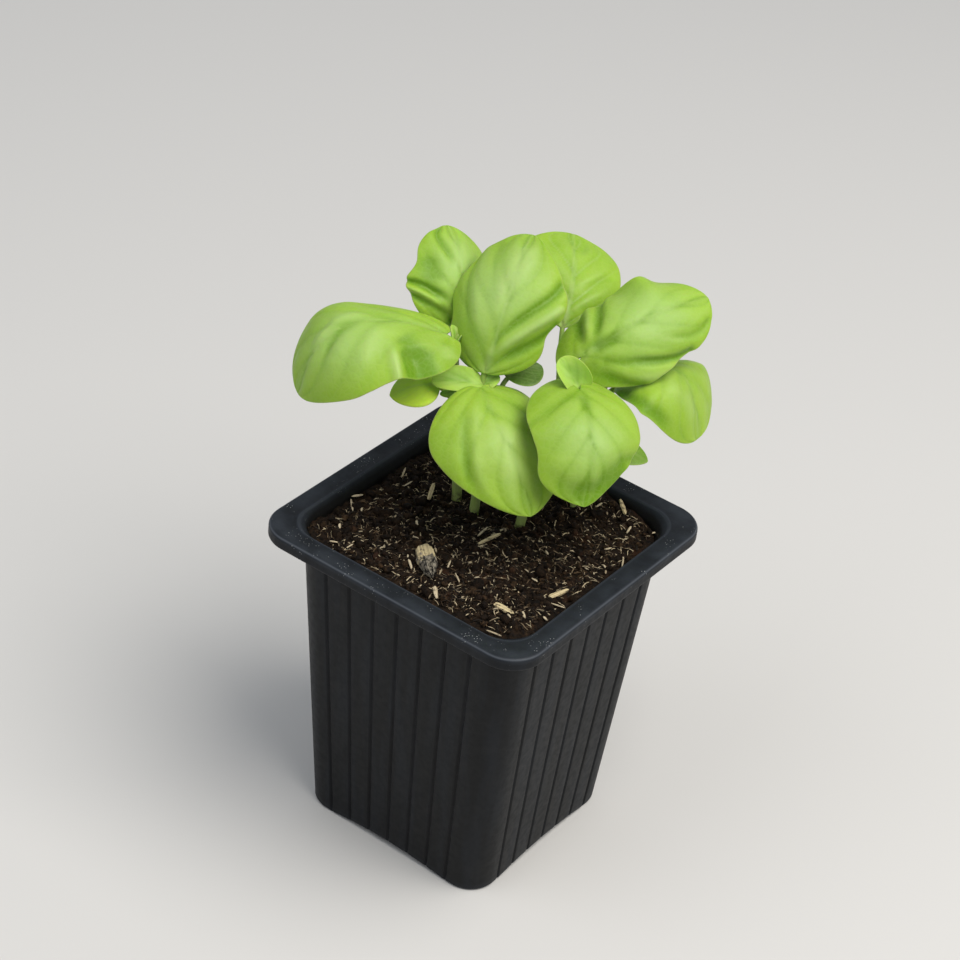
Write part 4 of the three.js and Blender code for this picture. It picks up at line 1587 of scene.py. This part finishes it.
@dataclass(frozen=True)
class Blade:
    """One leaf blade: where it runs, how it bends, and how its tissue is puffed between its veins."""

    foot: Point
    tip: Point
    width: float
    arch: float
    peak: float = 0.5
    roll: float = 0.0
    twist: float = 0.0
    cup: float = 60.0
    lobe: float = 0.0
    blunt: tuple[float, float] = (0.5, 0.6)
    stations: int = 110
    strips: int = 72
    crowding: float = 0.86
    thickness: float = 0.42
    under_rib: float = 0.55
    edge_line: float = 0.35
    veins: float = 3.6
    vein_line: float = 0.38
    rib_line: float = 0.40
    rib_flare: float = 1.7
    slant: float = 2.1
    puff: float = 0.42
    channel: float = 0.4
    channel_width: float = 1.1
    end_half: float = 0.35
    rib_bow: float = 0.0
    seed: int = 1
    vein_show: float = 0.8
    # How strong the painted highlight over the blade's middle is.
    painted_highlight: float = 0.75
    folds: tuple[Fold, ...] = ()
    waves: tuple[Wave, ...] = ()
    growth: tuple[tuple[float, ...], tuple[float, ...]] = ((1, 1), (1, 1))

    @property
    def length(self) -> float:
        """The distance from foot to tip, with the arch's part added."""
        return float(np.linalg.norm(np.subtract(self.tip, self.foot))) + 0.3 * self.arch

    def outline(self, u: Array) -> Array:
        """Gives the blade's plain outline.

        Args:
            u: Shares of the length.

        Returns:
            The half width at each, as a share of the greatest.
        """
        foot, tip = self.blunt
        peak = foot / (foot + tip)
        return u**foot * (1 - u) ** tip / (peak**foot * (1 - peak) ** tip)

    def half_width(self, u: Array, v: Array) -> Array:
        """Gives half the blade's width, where either side may be fuller or leaner than its outline.

        Args:
            u: Shares of the length.
            v: Places from margin to margin, of which only the side counts.

        Returns:
            The half width in millimetres at each.
        """
        shares = []
        for side in self.growth:
            places = np.linspace(0.05, 0.95, len(side))
            step = places[1] - places[0]
            k = np.clip(((u - places[0]) / step).astype(int), 0, len(side) - 2)
            t = np.clip((u - places[k]) / step, 0, 1)
            grown, slope = np.array(side), np.gradient(np.array(side, float))
            shares.append(flowing(t, grown[k], slope[k], grown[k + 1], slope[k + 1]))
        middle = smooth_step(-0.1, 0.1, v)
        half = self.width / 2 * self.outline(u) * (shares[0] * (1 - middle) + shares[1] * middle)
        return np.maximum(self.end_half, half)

    def midrib(self, u: Array) -> tuple[Array, Array, Array, Array]:
        """Follows the midrib.

        Args:
            u: Shares of the blade's length.

        Returns:
            At each, the midrib's place, its direction, the way sideways and the way outward.
        """
        foot, tip = np.array(self.foot), np.array(self.tip)
        along = unit(tip - foot)
        upright = unit(UP - along * along[2])
        lifted = turned(upright, along, math.radians(self.roll))
        crest = foot + (tip - foot) * self.peak + lifted * 2 * self.arch
        share = u[:, None]
        place = arched(share, foot, crest, tip)
        tangent = unit((1 - share) * (crest - foot) + share * (tip - crest))
        side = np.cross(along, turned(upright, along, np.radians(self.roll + self.twist * (u - 0.5))))
        side = unit(side - tangent * (side * tangent).sum(-1, keepdims=True))
        return place, tangent, side, np.cross(side, tangent)

    def tissue(self, u: Array, v: Array, half: Array) -> tuple[Array, Array, Array, Array]:
        """Works out the relief of the blade's upper face.

        Args:
            u: Shares of the length, one row for each station.
            v: Places from margin to margin, from -1 to 1.
            half: Half the width at each station.

        Returns:
            The relief in millimetres, how much vein shows, how much painted shade lies in its creases,
            channel and hollows, and how much painted highlight lies on its crests.
        """
        rib = self.rib_bow * np.sin(np.pi * u**0.7)
        beside = (v - rib) / (1 - np.sign(v - rib) * rib)
        inner = np.abs(beside)
        phase = self.veins * u**0.85 - self.slant * inner**0.9 + 0.12 * np.sign(beside)
        ridge = np.abs(np.sin(np.pi * phase))
        fade = 1 - inner**4
        middle_line = np.abs(v - rib) * half
        channel = np.exp(-((middle_line / self.channel_width) ** 2))
        small = np.stack([u * self.length + 0 * v, v * half, 0 * u * v + self.seed * 9.0], -1)
        relief = self.puff * ridge**0.8 * fade - self.channel * channel * (1 - 0.5 * u)
        relief = relief + 0.35 * rough(small, 8.0, self.seed + 50)
        relief = relief + 0.10 * rough(small, 3.0, self.seed, 2) * fade
        near = np.abs(phase - np.round(phase)) / self.veins * self.length
        lateral = np.exp(-((near / self.vein_line) ** 2)) * (1 - inner**2) * 0.6
        rib_width = self.rib_line + self.rib_flare * (1 - u) ** 12
        middle = np.exp(-((middle_line / rib_width) ** 2)) * (1 - 0.6 * u)
        scale = np.minimum(1, half / 5)
        across, along = v * half, u * self.length + 0 * v
        folded = sum((fold.lay(self, across, along) for fold in self.folds), np.zeros(v.shape))
        # Painted shade in the hollows between cushions, along the midrib's channel and in sunken folds.
        painted_crease_shade = (1 - ridge) ** 2 * fade * 0.35 + 0.35 * channel + np.clip(-folded, 0, 1)
        # Painted highlight on raised folds and, more weakly, on the cushions between veins.
        crest = np.clip(folded, 0, 1) + 0.3 * ridge * fade
        relief = (relief * self.width / 30 + folded) * scale
        return relief, np.maximum(lateral, middle) * scale, painted_crease_shade, crest

    def skin(self) -> Skin:
        """Makes the blade as one closed skin, thick in its middle and thin at its margins."""
        u = (1 - np.cos(np.linspace(0, math.pi, self.stations))) / 2
        spread = math.pi * self.crowding
        v = np.sin(np.linspace(-0.5, 0.5, self.strips + 1) * spread) / math.sin(spread / 2)
        place, tangent, side, out = (rows[:, None, :] for rows in self.midrib(u))
        grid_u, grid_v = u[:, None] + 0 * v[None], v[None] + 0 * u[:, None]
        half = self.half_width(grid_u, grid_v)
        half = half + sum((w.out * w.near(grid_u, grid_v) for w in self.waves), 0 * half)
        relief, vein, painted_crease_shade, crest = self.tissue(grid_u, grid_v, half)
        rise = np.abs(grid_v) ** 1.6 * sum((w.up * w.near(grid_u, grid_v) for w in self.waves), 0 * half)
        curl = math.radians(self.cup) / (self.width / 2)
        turn = grid_v * half * curl
        back = self.lobe * np.abs(grid_v) ** 1.5 * (1 - grid_u) ** 6
        back = back * np.minimum(1, half / (0.07 * self.width))
        thick = self.thickness * np.sqrt(np.clip(1 - np.abs(grid_v) ** 10, 0, 1))
        rib = self.under_rib * np.exp(-((grid_v * half / 0.6) ** 2)) * (1 - grid_u)
        faces_at = []
        for lift in (relief + thick / 2, relief - thick / 2 - rib):
            across = np.sin(turn) / curl + lift * np.sin(turn)
            high = (np.cos(turn) - 1) / curl + lift * np.cos(turn) + rise
            moved = side * across[..., None] + out * high[..., None] - tangent * back[..., None]
            faces_at.append(place + moved)
        upper, lower = faces_at
        ring = np.concatenate([upper, lower[:, -2:0:-1]], 1)
        count = ring.shape[1]
        edge = (1 - np.abs(grid_v)) * half
        rim = np.exp(-((edge / self.edge_line) ** 2))
        # Painted highlight: strongest a little above the blade's middle, fading towards its margins and
        # ends.
        painted_highlight = self.painted_highlight * np.exp(-(((grid_u - 0.55) / 0.3) ** 2) - (grid_v / 0.62) ** 2)
        closed = {name: np.concatenate([values, values[:, -2:0:-1]], 1).ravel()
                  for name, values in zip(LEAF_MARKS, (vein * self.vein_show, painted_crease_shade, crest, painted_highlight, rim))}
        beneath = np.ones((self.stations, self.strips - 1))
        closed["under"] = np.concatenate([0 * vein, beneath], 1).ravel()
        faces = ring_faces(self.stations, count)
        last = (self.stations - 1) * count
        for j in range(self.strips):
            a, b = j, j + 1
            c, d = (count - b) % count, (count - a) % count
            quad = list(dict.fromkeys([a, d, c, b]))
            faces += [quad, [last + i for i in quad[::-1]]]
        return Skin(ring.reshape(-1, 3), faces, closed)


def young_blade(foot: Point, tip: Point, width: float, arch: float = 0.8, roll: float = 0.0,
                cup: float = -50.0) -> Blade:
    """Shapes a young leaf that is still folding open: small, thin and nearly smooth.

    Args:
        foot: Where it grows from.
        tip: Where it ends.
        width: Its greatest width.
        arch: How high its midrib arches.
        roll: How far it is rolled about its length, in degrees.
        cup: How far its margins turn down, or below 0 up, in degrees.

    Returns:
        Its blade.
    """
    return Blade(foot, tip, width, arch, roll=roll, cup=cup, blunt=(0.42, 0.5), stations=56, strips=36,
                 puff=0.2, channel=0.25, veins=3, channel_width=0.5, thickness=0.35,
                 seed=int(abs(sum(tip)) * 10),
                 folds=(Fold(((0.15, 0.0), (0.5, 0.1), (0.85, 0.05)), -0.5, width * 0.16),))


@dataclass(frozen=True)
class Stem:
    """A seedling's stem, from its foot in the peat to its young leaves, and those leaves."""

    name: str
    foot: tuple[float, float]
    top: Point
    bow: tuple[float, float]
    young: tuple[Blade, ...]
    ground: float = 84.4
    buried: float = 16.0
    foot_radius: float = 1.35
    tip_radius: float = 0.95
    sides: int = 20
    rings: int = 70

    def knots(self) -> Array:
        """Gives the four points that the stem passes through."""
        middle = [(self.foot[k] + self.top[k]) / 2 + self.bow[k] for k in range(2)]
        return np.array([[*self.foot, self.ground - self.buried], [*self.foot, self.ground],
                         [*middle, (self.ground + self.top[2]) / 2], self.top])

    def path(self, count: int) -> Array:
        """Draws a smooth line through the knots, at even steps along it.

        Args:
            count: How many points are wanted.

        Returns:
            The points.
        """
        knots = self.knots()
        padded = np.vstack([2 * knots[0] - knots[1], knots, 2 * knots[-1] - knots[-2]])
        fine = []
        for k in range(1, len(padded) - 2):
            a, b, c, d = padded[k - 1 : k + 3]
            first, second, third = (np.linalg.norm(q - p) ** 0.5 for p, q in ((a, b), (b, c), (c, d)))
            leave = ((b - a) / first - (c - a) / (first + second) + (c - b) / second) * second
            arrive = ((c - b) / second - (d - b) / (second + third) + (d - c) / third) * second
            share = np.linspace(0, 1, 80, endpoint=k == len(padded) - 3)[:, None]
            fine.append(flowing(share, b, leave, c, arrive))
        line = np.concatenate(fine)
        run = np.concatenate([[0], np.cumsum(np.linalg.norm(np.diff(line, axis=0), axis=1))])
        even = np.linspace(0, run[-1], count)
        return np.column_stack([np.interp(even, run, line[:, k]) for k in range(3)])

    def at_height(self, z: float) -> Array:
        """Gives the stem's middle at a height."""
        line = self.path(400)
        return np.array([np.interp(z, line[:, 2], line[:, k]) for k in range(3)])

    def tube_skin(self) -> Skin:
        """Makes the stem itself, slightly ridged, with a rounded top."""
        path = self.path(self.rings)
        share = np.linspace(0, 1, self.rings)
        radii = self.foot_radius + (self.tip_radius - self.foot_radius) * share
        radii = radii * np.sqrt(np.clip(1 - ((share - 0.985) / 0.015).clip(0) ** 2 * 0.9, 0.05, 1))
        skin = tube(path, radii, self.sides)
        foot = smooth_step(self.ground + 8, self.ground - 1, skin.points[:, 2])
        soiled = smooth_step(self.ground + 1.8, self.ground - 0.5, skin.points[:, 2])
        skin.marks = {"foot": foot, "vein": 0 * foot, "soiled": soiled}
        return skin

    def young_skins(self) -> list[Skin]:
        """Makes the pair of young leaves that have grown out of the stem's top."""
        return [blade.skin() for blade in self.young]

    def build(self, leaf: bpy.types.Material) -> None:
        """Makes and dresses the stem and its young leaves.

        Args:
            leaf: The young leaves' finish.
        """
        node = f"stem_{self.name}"
        made = add_piece(f"{node}_live", self.tube_skin(), StemGreen(node).material(), [node])
        young = add_piece(f"young_leaves_{self.name}", joined(self.young_skins()), leaf)
        young.parent = made
        young.matrix_parent_inverse = Matrix.Identity(4)


@dataclass(frozen=True)
class Leaf:
    """A grown leaf: its blade, and the stalk that joins it to its stem."""

    node: str
    stem: Stem
    leaves_at: float
    blade: Blade
    stalk_radius: float = 0.75
    reach: float = 0.14
    sunk: float = 0.0

    def stalk_skin(self) -> Skin:
        """Makes the stalk, from the stem's side to a little way under the midrib."""
        start = self.stem.at_height(self.leaves_at)
        place, tangent, _, out = (rows[0] for rows in self.blade.midrib(np.array([self.reach])))
        end = place - out * (self.stalk_radius * 0.6 + self.sunk)
        foot = np.array(self.blade.foot)
        away = unit((foot - start) * [1, 1, 0])
        length = float(np.linalg.norm(foot - start))
        leaving, arriving = away * 0.4 + UP * 0.15, tangent * 0.4
        handles = [start, start + leaving * length, end - arriving * length, end]
        steps, sides = 26, 14
        t = np.linspace(0, 1, steps)[:, None]
        path = ((1 - t) ** 3 * handles[0] + 3 * t * (1 - t) ** 2 * handles[1]
                + 3 * t**2 * (1 - t) * handles[2] + t**3 * handles[3])
        skin = tube(path, self.stalk_radius * np.linspace(1.15, 0.75, steps), sides)
        blank = np.zeros(len(skin.points))
        skin.marks = dict.fromkeys(LEAF_MARKS, blank) | {"vein": blank + 0.8}
        return skin

    def build(self, material: bpy.types.Material, slot: Slot) -> None:
        """Makes and dresses the leaf.

        Args:
            material: Its finish.
            slot: Not used; it names the record's slot for that finish.
        """
        skin = joined([self.blade.skin(), self.stalk_skin()])
        add_piece(f"{self.node}_live", skin, material, [self.node])


@dataclass
class Plant:
    """The four seedlings with all their leaves."""

    stems: dict[str, Stem] = field(default_factory=lambda: {stem.name: stem for stem in (
        Stem("left", foot=(-15.4, 8.7), top=(-17.6, 4.6, 128.8), bow=(-1, 1), young=(
            young_blade((-17.8, 4.8, 128.0), (-20.4, 6.4, 132.6), 3.4, arch=0.5, roll=20, cup=-60),
            young_blade((-17.7, 4.8, 128.0), (-17.4, 7.2, 131.6), 2.4, arch=0.5, roll=-20, cup=-60))),
        Stem("centre", foot=(-7.8, 5.9), top=(-8.2, 5.6, 122), bow=(1, 0), young=(
            young_blade((-8.7, 4.9, 121.6), (-18.0, -3.1, 122.4), 7.4, arch=1.4, roll=-32, cup=-40),
            young_blade((-8.8, 5.0, 119.3), (-16.4, -1.3, 118.3), 4.4, arch=0.8, roll=-12, cup=20),
            young_blade((-9.4, 4.4, 120.6), (-6.7, 8.6, 123.4), 4.6, arch=0.8, roll=30, cup=-30))),
        Stem("right", foot=(3.8, 9.5), top=(11.2, 17.2, 125), bow=(-1.5, 0), young=(
            young_blade((12.2, 16.8, 123.8), (6.1, 14.2, 131.9), 8.8, arch=0.6, roll=-45, cup=-62),
            young_blade((10.9, 17.6, 123.4), (10.2, 19.8, 124.6), 2.2))),
        Stem("back", foot=(9.5, 24), top=(10.5, 29, 120.5), bow=(-1, 1), young=(
            young_blade((10.5, 29, 119.6), (12.6, 31.4, 119.4), 3.0),
            young_blade((10.5, 29, 119.6), (8.4, 30.8, 119.2), 2.8))))})

    def grown_leaves(self) -> list[Leaf]:
        """Lists the eight grown leaves, each with its own folds and the waves of its margin."""
        left, centre, right, back = self.stems.values()
        return [
            Leaf("leaf_left", left, leaves_at=127.5, blade=Blade(
                (-19.1, 2.4, 132.4), (-41.2, -24.7, 118.1), width=30.3, arch=12.4, peak=0.61,
                roll=-19, twist=-21, cup=35, lobe=3.6, blunt=(0.45, 0.53),
                growth=((1.25, 0.95, 0.95, 1.0, 0.95), (0.8, 0.85, 0.95, 1.1, 1.4)),
                puff=0.26, rib_bow=0.3, vein_show=0.5,
                folds=(Fold(((0.185, -1.05), (0.20, -0.35)), -2.6, 2.5),
                       Fold(((0.05, -1.0), (0.07, -0.4)), 0.5, 1.4),
                       Fold(((0.315, -1.05), (0.30, -0.30)), 1.0, 1.3),
                       Fold(((0.30, 0.35), (0.62, 0.35), (0.90, -0.1)), 0.5, 1.3),
                       Fold(((0.30, 0.15), (0.42, -0.25), (0.55, -0.7)), 0.4, 2.0),
                       Fold(((0.35, 0.25), (0.60, 0.1), (0.75, -0.2)), -0.35, 1.2)))),
            Leaf("leaf_back_left", left, leaves_at=128, blade=Blade(
                (-24.5, 12.1, 127), (-36.6, 23.3, 146.3), width=28.5, arch=5.4, peak=0.45,
                roll=24, twist=-3, cup=57, lobe=0.4, blunt=(0.44, 0.64), seed=2,
                growth=((0.95, 0.95, 1.0, 0.95, 1.35), (1.0, 1.0, 1.1, 1.45, 1.3)),
                puff=0.3,
                folds=(Fold(((0.97, -0.95), (0.80, -0.35), (0.58, -0.2)), -0.6, 1.0),
                       Fold(((0.80, -0.75), (0.55, -0.6), (0.35, -0.5)), -0.8, 3.0),
                       Fold(((0.92, 0.1), (0.70, 0.0), (0.45, -0.05)), 0.5, 2.2),
                       Fold(((0.46, -1.0), (0.36, -0.6), (0.24, -0.15)), -1.0, 1.2),
                       Fold(((0.36, -1.0), (0.26, -0.55), (0.14, -0.15)), 0.5, 1.1),
                       Fold(((0.27, -1.0), (0.18, -0.5), (0.08, -0.1)), -0.8, 1.2)))),
            Leaf("leaf_centre", centre, leaves_at=120, blade=Blade(
                (-8.9, 5.4, 124.8), (-15.1, 28.7, 150.6), width=29.2, arch=6.4, peak=0.5,
                roll=-4, twist=-8, cup=43, lobe=0.4, blunt=(0.54, 0.55), seed=3,
                growth=((1.35, 1.0, 1.15, 1.1, 1.0), (1.45, 1.0, 1.1, 1.1, 0.75)),
                rib_bow=0.12, puff=0.3, painted_highlight=0.8,
                folds=(Fold(((0.77, -0.99), (0.55, -0.75), (0.15, -0.42)), -0.3, 0.9),
                       Fold(((0.95, -0.9), (0.76, -0.45), (0.45, -0.1)), -0.35, 1.3),
                       Fold(((0.85, -0.95), (0.55, -0.5), (0.15, -0.2)), 0.4, 1.8),
                       Fold(((0.74, 1.0), (0.46, 0.55), (0.18, 0.12)), -0.85, 1.5),
                       Fold(((0.56, 1.0), (0.32, 0.60), (0.12, 0.15)), 0.8, 1.3),
                       Fold(((0.42, 1.05), (0.20, 0.75), (0.08, 0.3)), -1.0, 1.4),
                       Fold(((0.95, 0.2), (0.70, 0.1), (0.30, -0.1)), 0.7, 3.2)),
                waves=(Wave(0.2, 1, 0.16, up=-1.2),)), sunk=0.8),
            Leaf("leaf_front_left", centre, leaves_at=119, blade=Blade(
                (-7.6, 2.6, 122.4), (17.7, -8.1, 103.2), width=36, arch=5, peak=0.43,
                roll=1, twist=12, cup=47, lobe=1.6, blunt=(0.47, 0.65), seed=4,
                growth=((1.35, 1.0, 1.0, 1.0, 0.95), (1.15, 1.1, 1.05, 1.05, 1.05)),
                puff=0.22, rib_bow=0.1, vein_show=0.2, channel=0.2, painted_highlight=0.3,
                folds=(Fold(((0.12, 0.30), (0.50, 0.52), (0.88, 0.86)), 0.35, 1.5),
                       Fold(((0.10, 0.42), (0.50, 0.66), (0.88, 0.98)), -0.6, 1.4),
                       Fold(((0.25, 0.1), (0.60, 0.15), (0.85, 0.2)), 0.6, 4.0),
                       Fold(((0.08, -0.35), (0.50, -0.50), (0.95, -0.45)), -0.5, 2.6)))),
            Leaf("leaf_front_right", right, leaves_at=122.5, blade=Blade(
                (13.2, 13.6, 126.4), (28.4, -2.4, 108.6), width=30.8, arch=7.2, peak=0.45,
                roll=-7, twist=-4, cup=40, lobe=7.2, blunt=(0.45, 0.62), seed=5,
                growth=((1.15, 1.0, 0.95, 0.95, 0.75), (1.2, 1.0, 0.9, 1.0, 1.55)),
                puff=0.16, channel=0.12, vein_show=0.06,
                folds=(Fold(((0.35, 0.98), (0.15, 0.45), (0.02, 0.2)), -0.4, 1.6),
                       Fold(((0.66, -1.0), (0.72, -0.6), (0.90, -0.3)), -0.7, 2.2),
                       Fold(((0.04, 0.0), (0.16, 0.0), (0.30, 0.0)), -0.5, 2.0),
                       Fold(((0.82, -0.95), (0.93, 0.0), (0.84, 0.95)), -0.9, 2.4))), sunk=0.6),
            Leaf("leaf_back_right", right, leaves_at=113, blade=Blade(
                (-4.2, 29.8, 128.6), (-17.1, 49.5, 141.6), width=29.4, arch=3.3, peak=0.48,
                roll=7, twist=10, cup=29, lobe=-1, blunt=(0.49, 0.56), seed=6,
                growth=((1.0, 1.0, 1.0, 1.05, 1.5), (1.0, 1.0, 0.95, 1.1, 1.5)),
                rib_bow=0.06, channel=0.05, vein_show=1.15, painted_highlight=0.1,
                folds=(Fold(((0.12, 0.05), (0.28, 0.35), (0.42, 0.65)), 0.35, 0.8),
                       Fold(((0.38, 0.08), (0.52, 0.40), (0.65, 0.65)), 0.3, 0.8),
                       Fold(((0.72, 0.12), (0.84, 0.35), (0.92, 0.6)), -0.4, 1.0)))),
            Leaf("leaf_right", back, leaves_at=119.5, blade=Blade(
                (7.1, 22.2, 129.1), (21.9, 52.2, 139.3), width=30.5, arch=5.1, peak=0.41,
                roll=27, twist=-2, cup=63, lobe=6.8, blunt=(0.45, 0.61), seed=7,
                growth=((1.0, 0.85, 1.05, 1.05, 1.2), (0.8, 1.0, 0.95, 1.0, 1.3)),
                puff=0.13, channel=0.15, vein_show=0.3,
                folds=(Fold(((0.38, -1.0), (0.26, -0.5), (0.12, -0.06)), -0.95, 1.4),
                       Fold(((0.26, -1.0), (0.19, -0.5), (0.08, -0.08)), 0.5, 1.3),
                       Fold(((0.17, -1.0), (0.12, -0.6), (0.05, -0.2)), -0.8, 1.1),
                       Fold(((0.93, 0.95), (0.74, 0.62), (0.60, 0.4)), -0.45, 1.1),
                       Fold(((0.76, 1.0), (0.50, 0.72), (0.15, 0.38)), -1.2, 1.2),
                       Fold(((0.60, 1.0), (0.42, 0.90), (0.22, 0.7)), 0.7, 2.0),
                       Fold(((0.30, 1.0), (0.18, 0.8), (0.06, 0.4)), -0.7, 1.3),
                       Fold(((0.05, 0.05), (0.20, 0.05), (0.35, 0.1)), -0.7, 1.8)),
                waves=(Wave(0.66, -1, 0.10, up=5.0), Wave(0.48, -1, 0.07, up=-0.8),
                       Wave(0.86, -1, 0.08, up=-0.6))), sunk=1.0),
            Leaf("leaf_right_low", back, leaves_at=115, blade=Blade(
                (10.3, 36.1, 116.5), (32.8, 38.5, 110.1), width=31.6, arch=11.3, peak=0.48,
                roll=-3, twist=7, cup=26, lobe=0, blunt=(0.49, 0.41), seed=8,
                growth=((1.0, 1.05, 1.15, 1.25, 1.45), (1.0, 1.0, 1.0, 0.95, 0.95)),
                puff=0.25, rib_bow=-0.15, vein_show=0.6, painted_highlight=0.1,
                folds=(Fold(((0.15, 0.95), (0.55, 0.86), (0.95, 0.75)), -1.0, 2.2),
                       Fold(((0.95, -0.1), (0.70, 0.2), (0.40, 0.3)), 0.4, 2.4)))),
        ]

    def seed_leaves(self) -> list[Leaf]:
        """Lists the three small lower leaves."""
        fine = {"stations": 60, "strips": 36, "puff": 0.08, "channel": 0.3, "channel_width": 0.8, "veins": 3}
        return [
            Leaf("seed_leaf_left", self.stems["left"], leaves_at=113, blade=Blade(
                (-17.5, -0.4, 119.9), (-25.9, -8.5, 116.7), width=13, arch=1.3, peak=0.45,
                roll=-11, twist=0, cup=14, lobe=0, blunt=(0.5, 0.65), **fine)),
            Leaf("seed_leaf_centre", self.stems["centre"], leaves_at=112, blade=Blade(
                (-6.3, 11.1, 122.1), (-2.8, 20.4, 122.7), width=12, arch=1.2, peak=0.45,
                roll=4, twist=0, cup=18, lobe=0, blunt=(0.5, 0.63), **fine)),
            Leaf("seed_leaf_right", self.stems["right"], leaves_at=108, blade=Blade(
                (15.1, 15.5, 113.9), (30.1, 20.9, 110.6), width=11.5, arch=1, peak=0.45,
                roll=5, twist=6, cup=20, lobe=0, blunt=(0.5, 0.65), **fine)),
        ]

    def build(self) -> None:
        """Makes and dresses every stem and leaf."""
        green = LeafGreen("leaf").material()
        # Lit and shaded copies of one seed-leaf green: the left seed leaf is painted brighter to stand in
        # for light, the centre and right ones darker as painted shade.
        lower = {"seed_leaf_left": ((0.56, 0.80, 0.06), (0.46, 0.70, 0.05)),
                 "seed_leaf_centre": ((0.09, 0.17, 0.018), (0.05, 0.11, 0.010)),
                 "seed_leaf_right": ((0.15, 0.27, 0.02), (0.10, 0.20, 0.012))}
        young = LeafGreen("young_leaf", light=(0.44, 0.64, 0.09), deep=(0.20, 0.38, 0.02)).material()
        for stem in self.stems.values():
            stem.build(young)
        for leaf in self.grown_leaves():
            leaf.build(green, Slot.LEAF)
        for leaf in self.seed_leaves():
            # Each seed leaf takes its own painted light and shade.
            light, deep = lower[leaf.node]
            leaf.build(LeafGreen(leaf.node, light=light, deep=deep, painted_highlight=light).material(), Slot.SEED_LEAF)


# ------------------------------------------------------------------ the whole


def main() -> None:
    """Builds the studio, the pot, the peat and the plant, in that order."""
    logging.basicConfig(level=logging.INFO, format="%(name)s: %(message)s")
    studio = Studio()
    studio.camera()
    studio.floor()
    studio.light()
    pot = Pot()
    pot.build()
    PeatBed(pot).build()
    Plant().build()


if __name__ == "__main__":
    main()
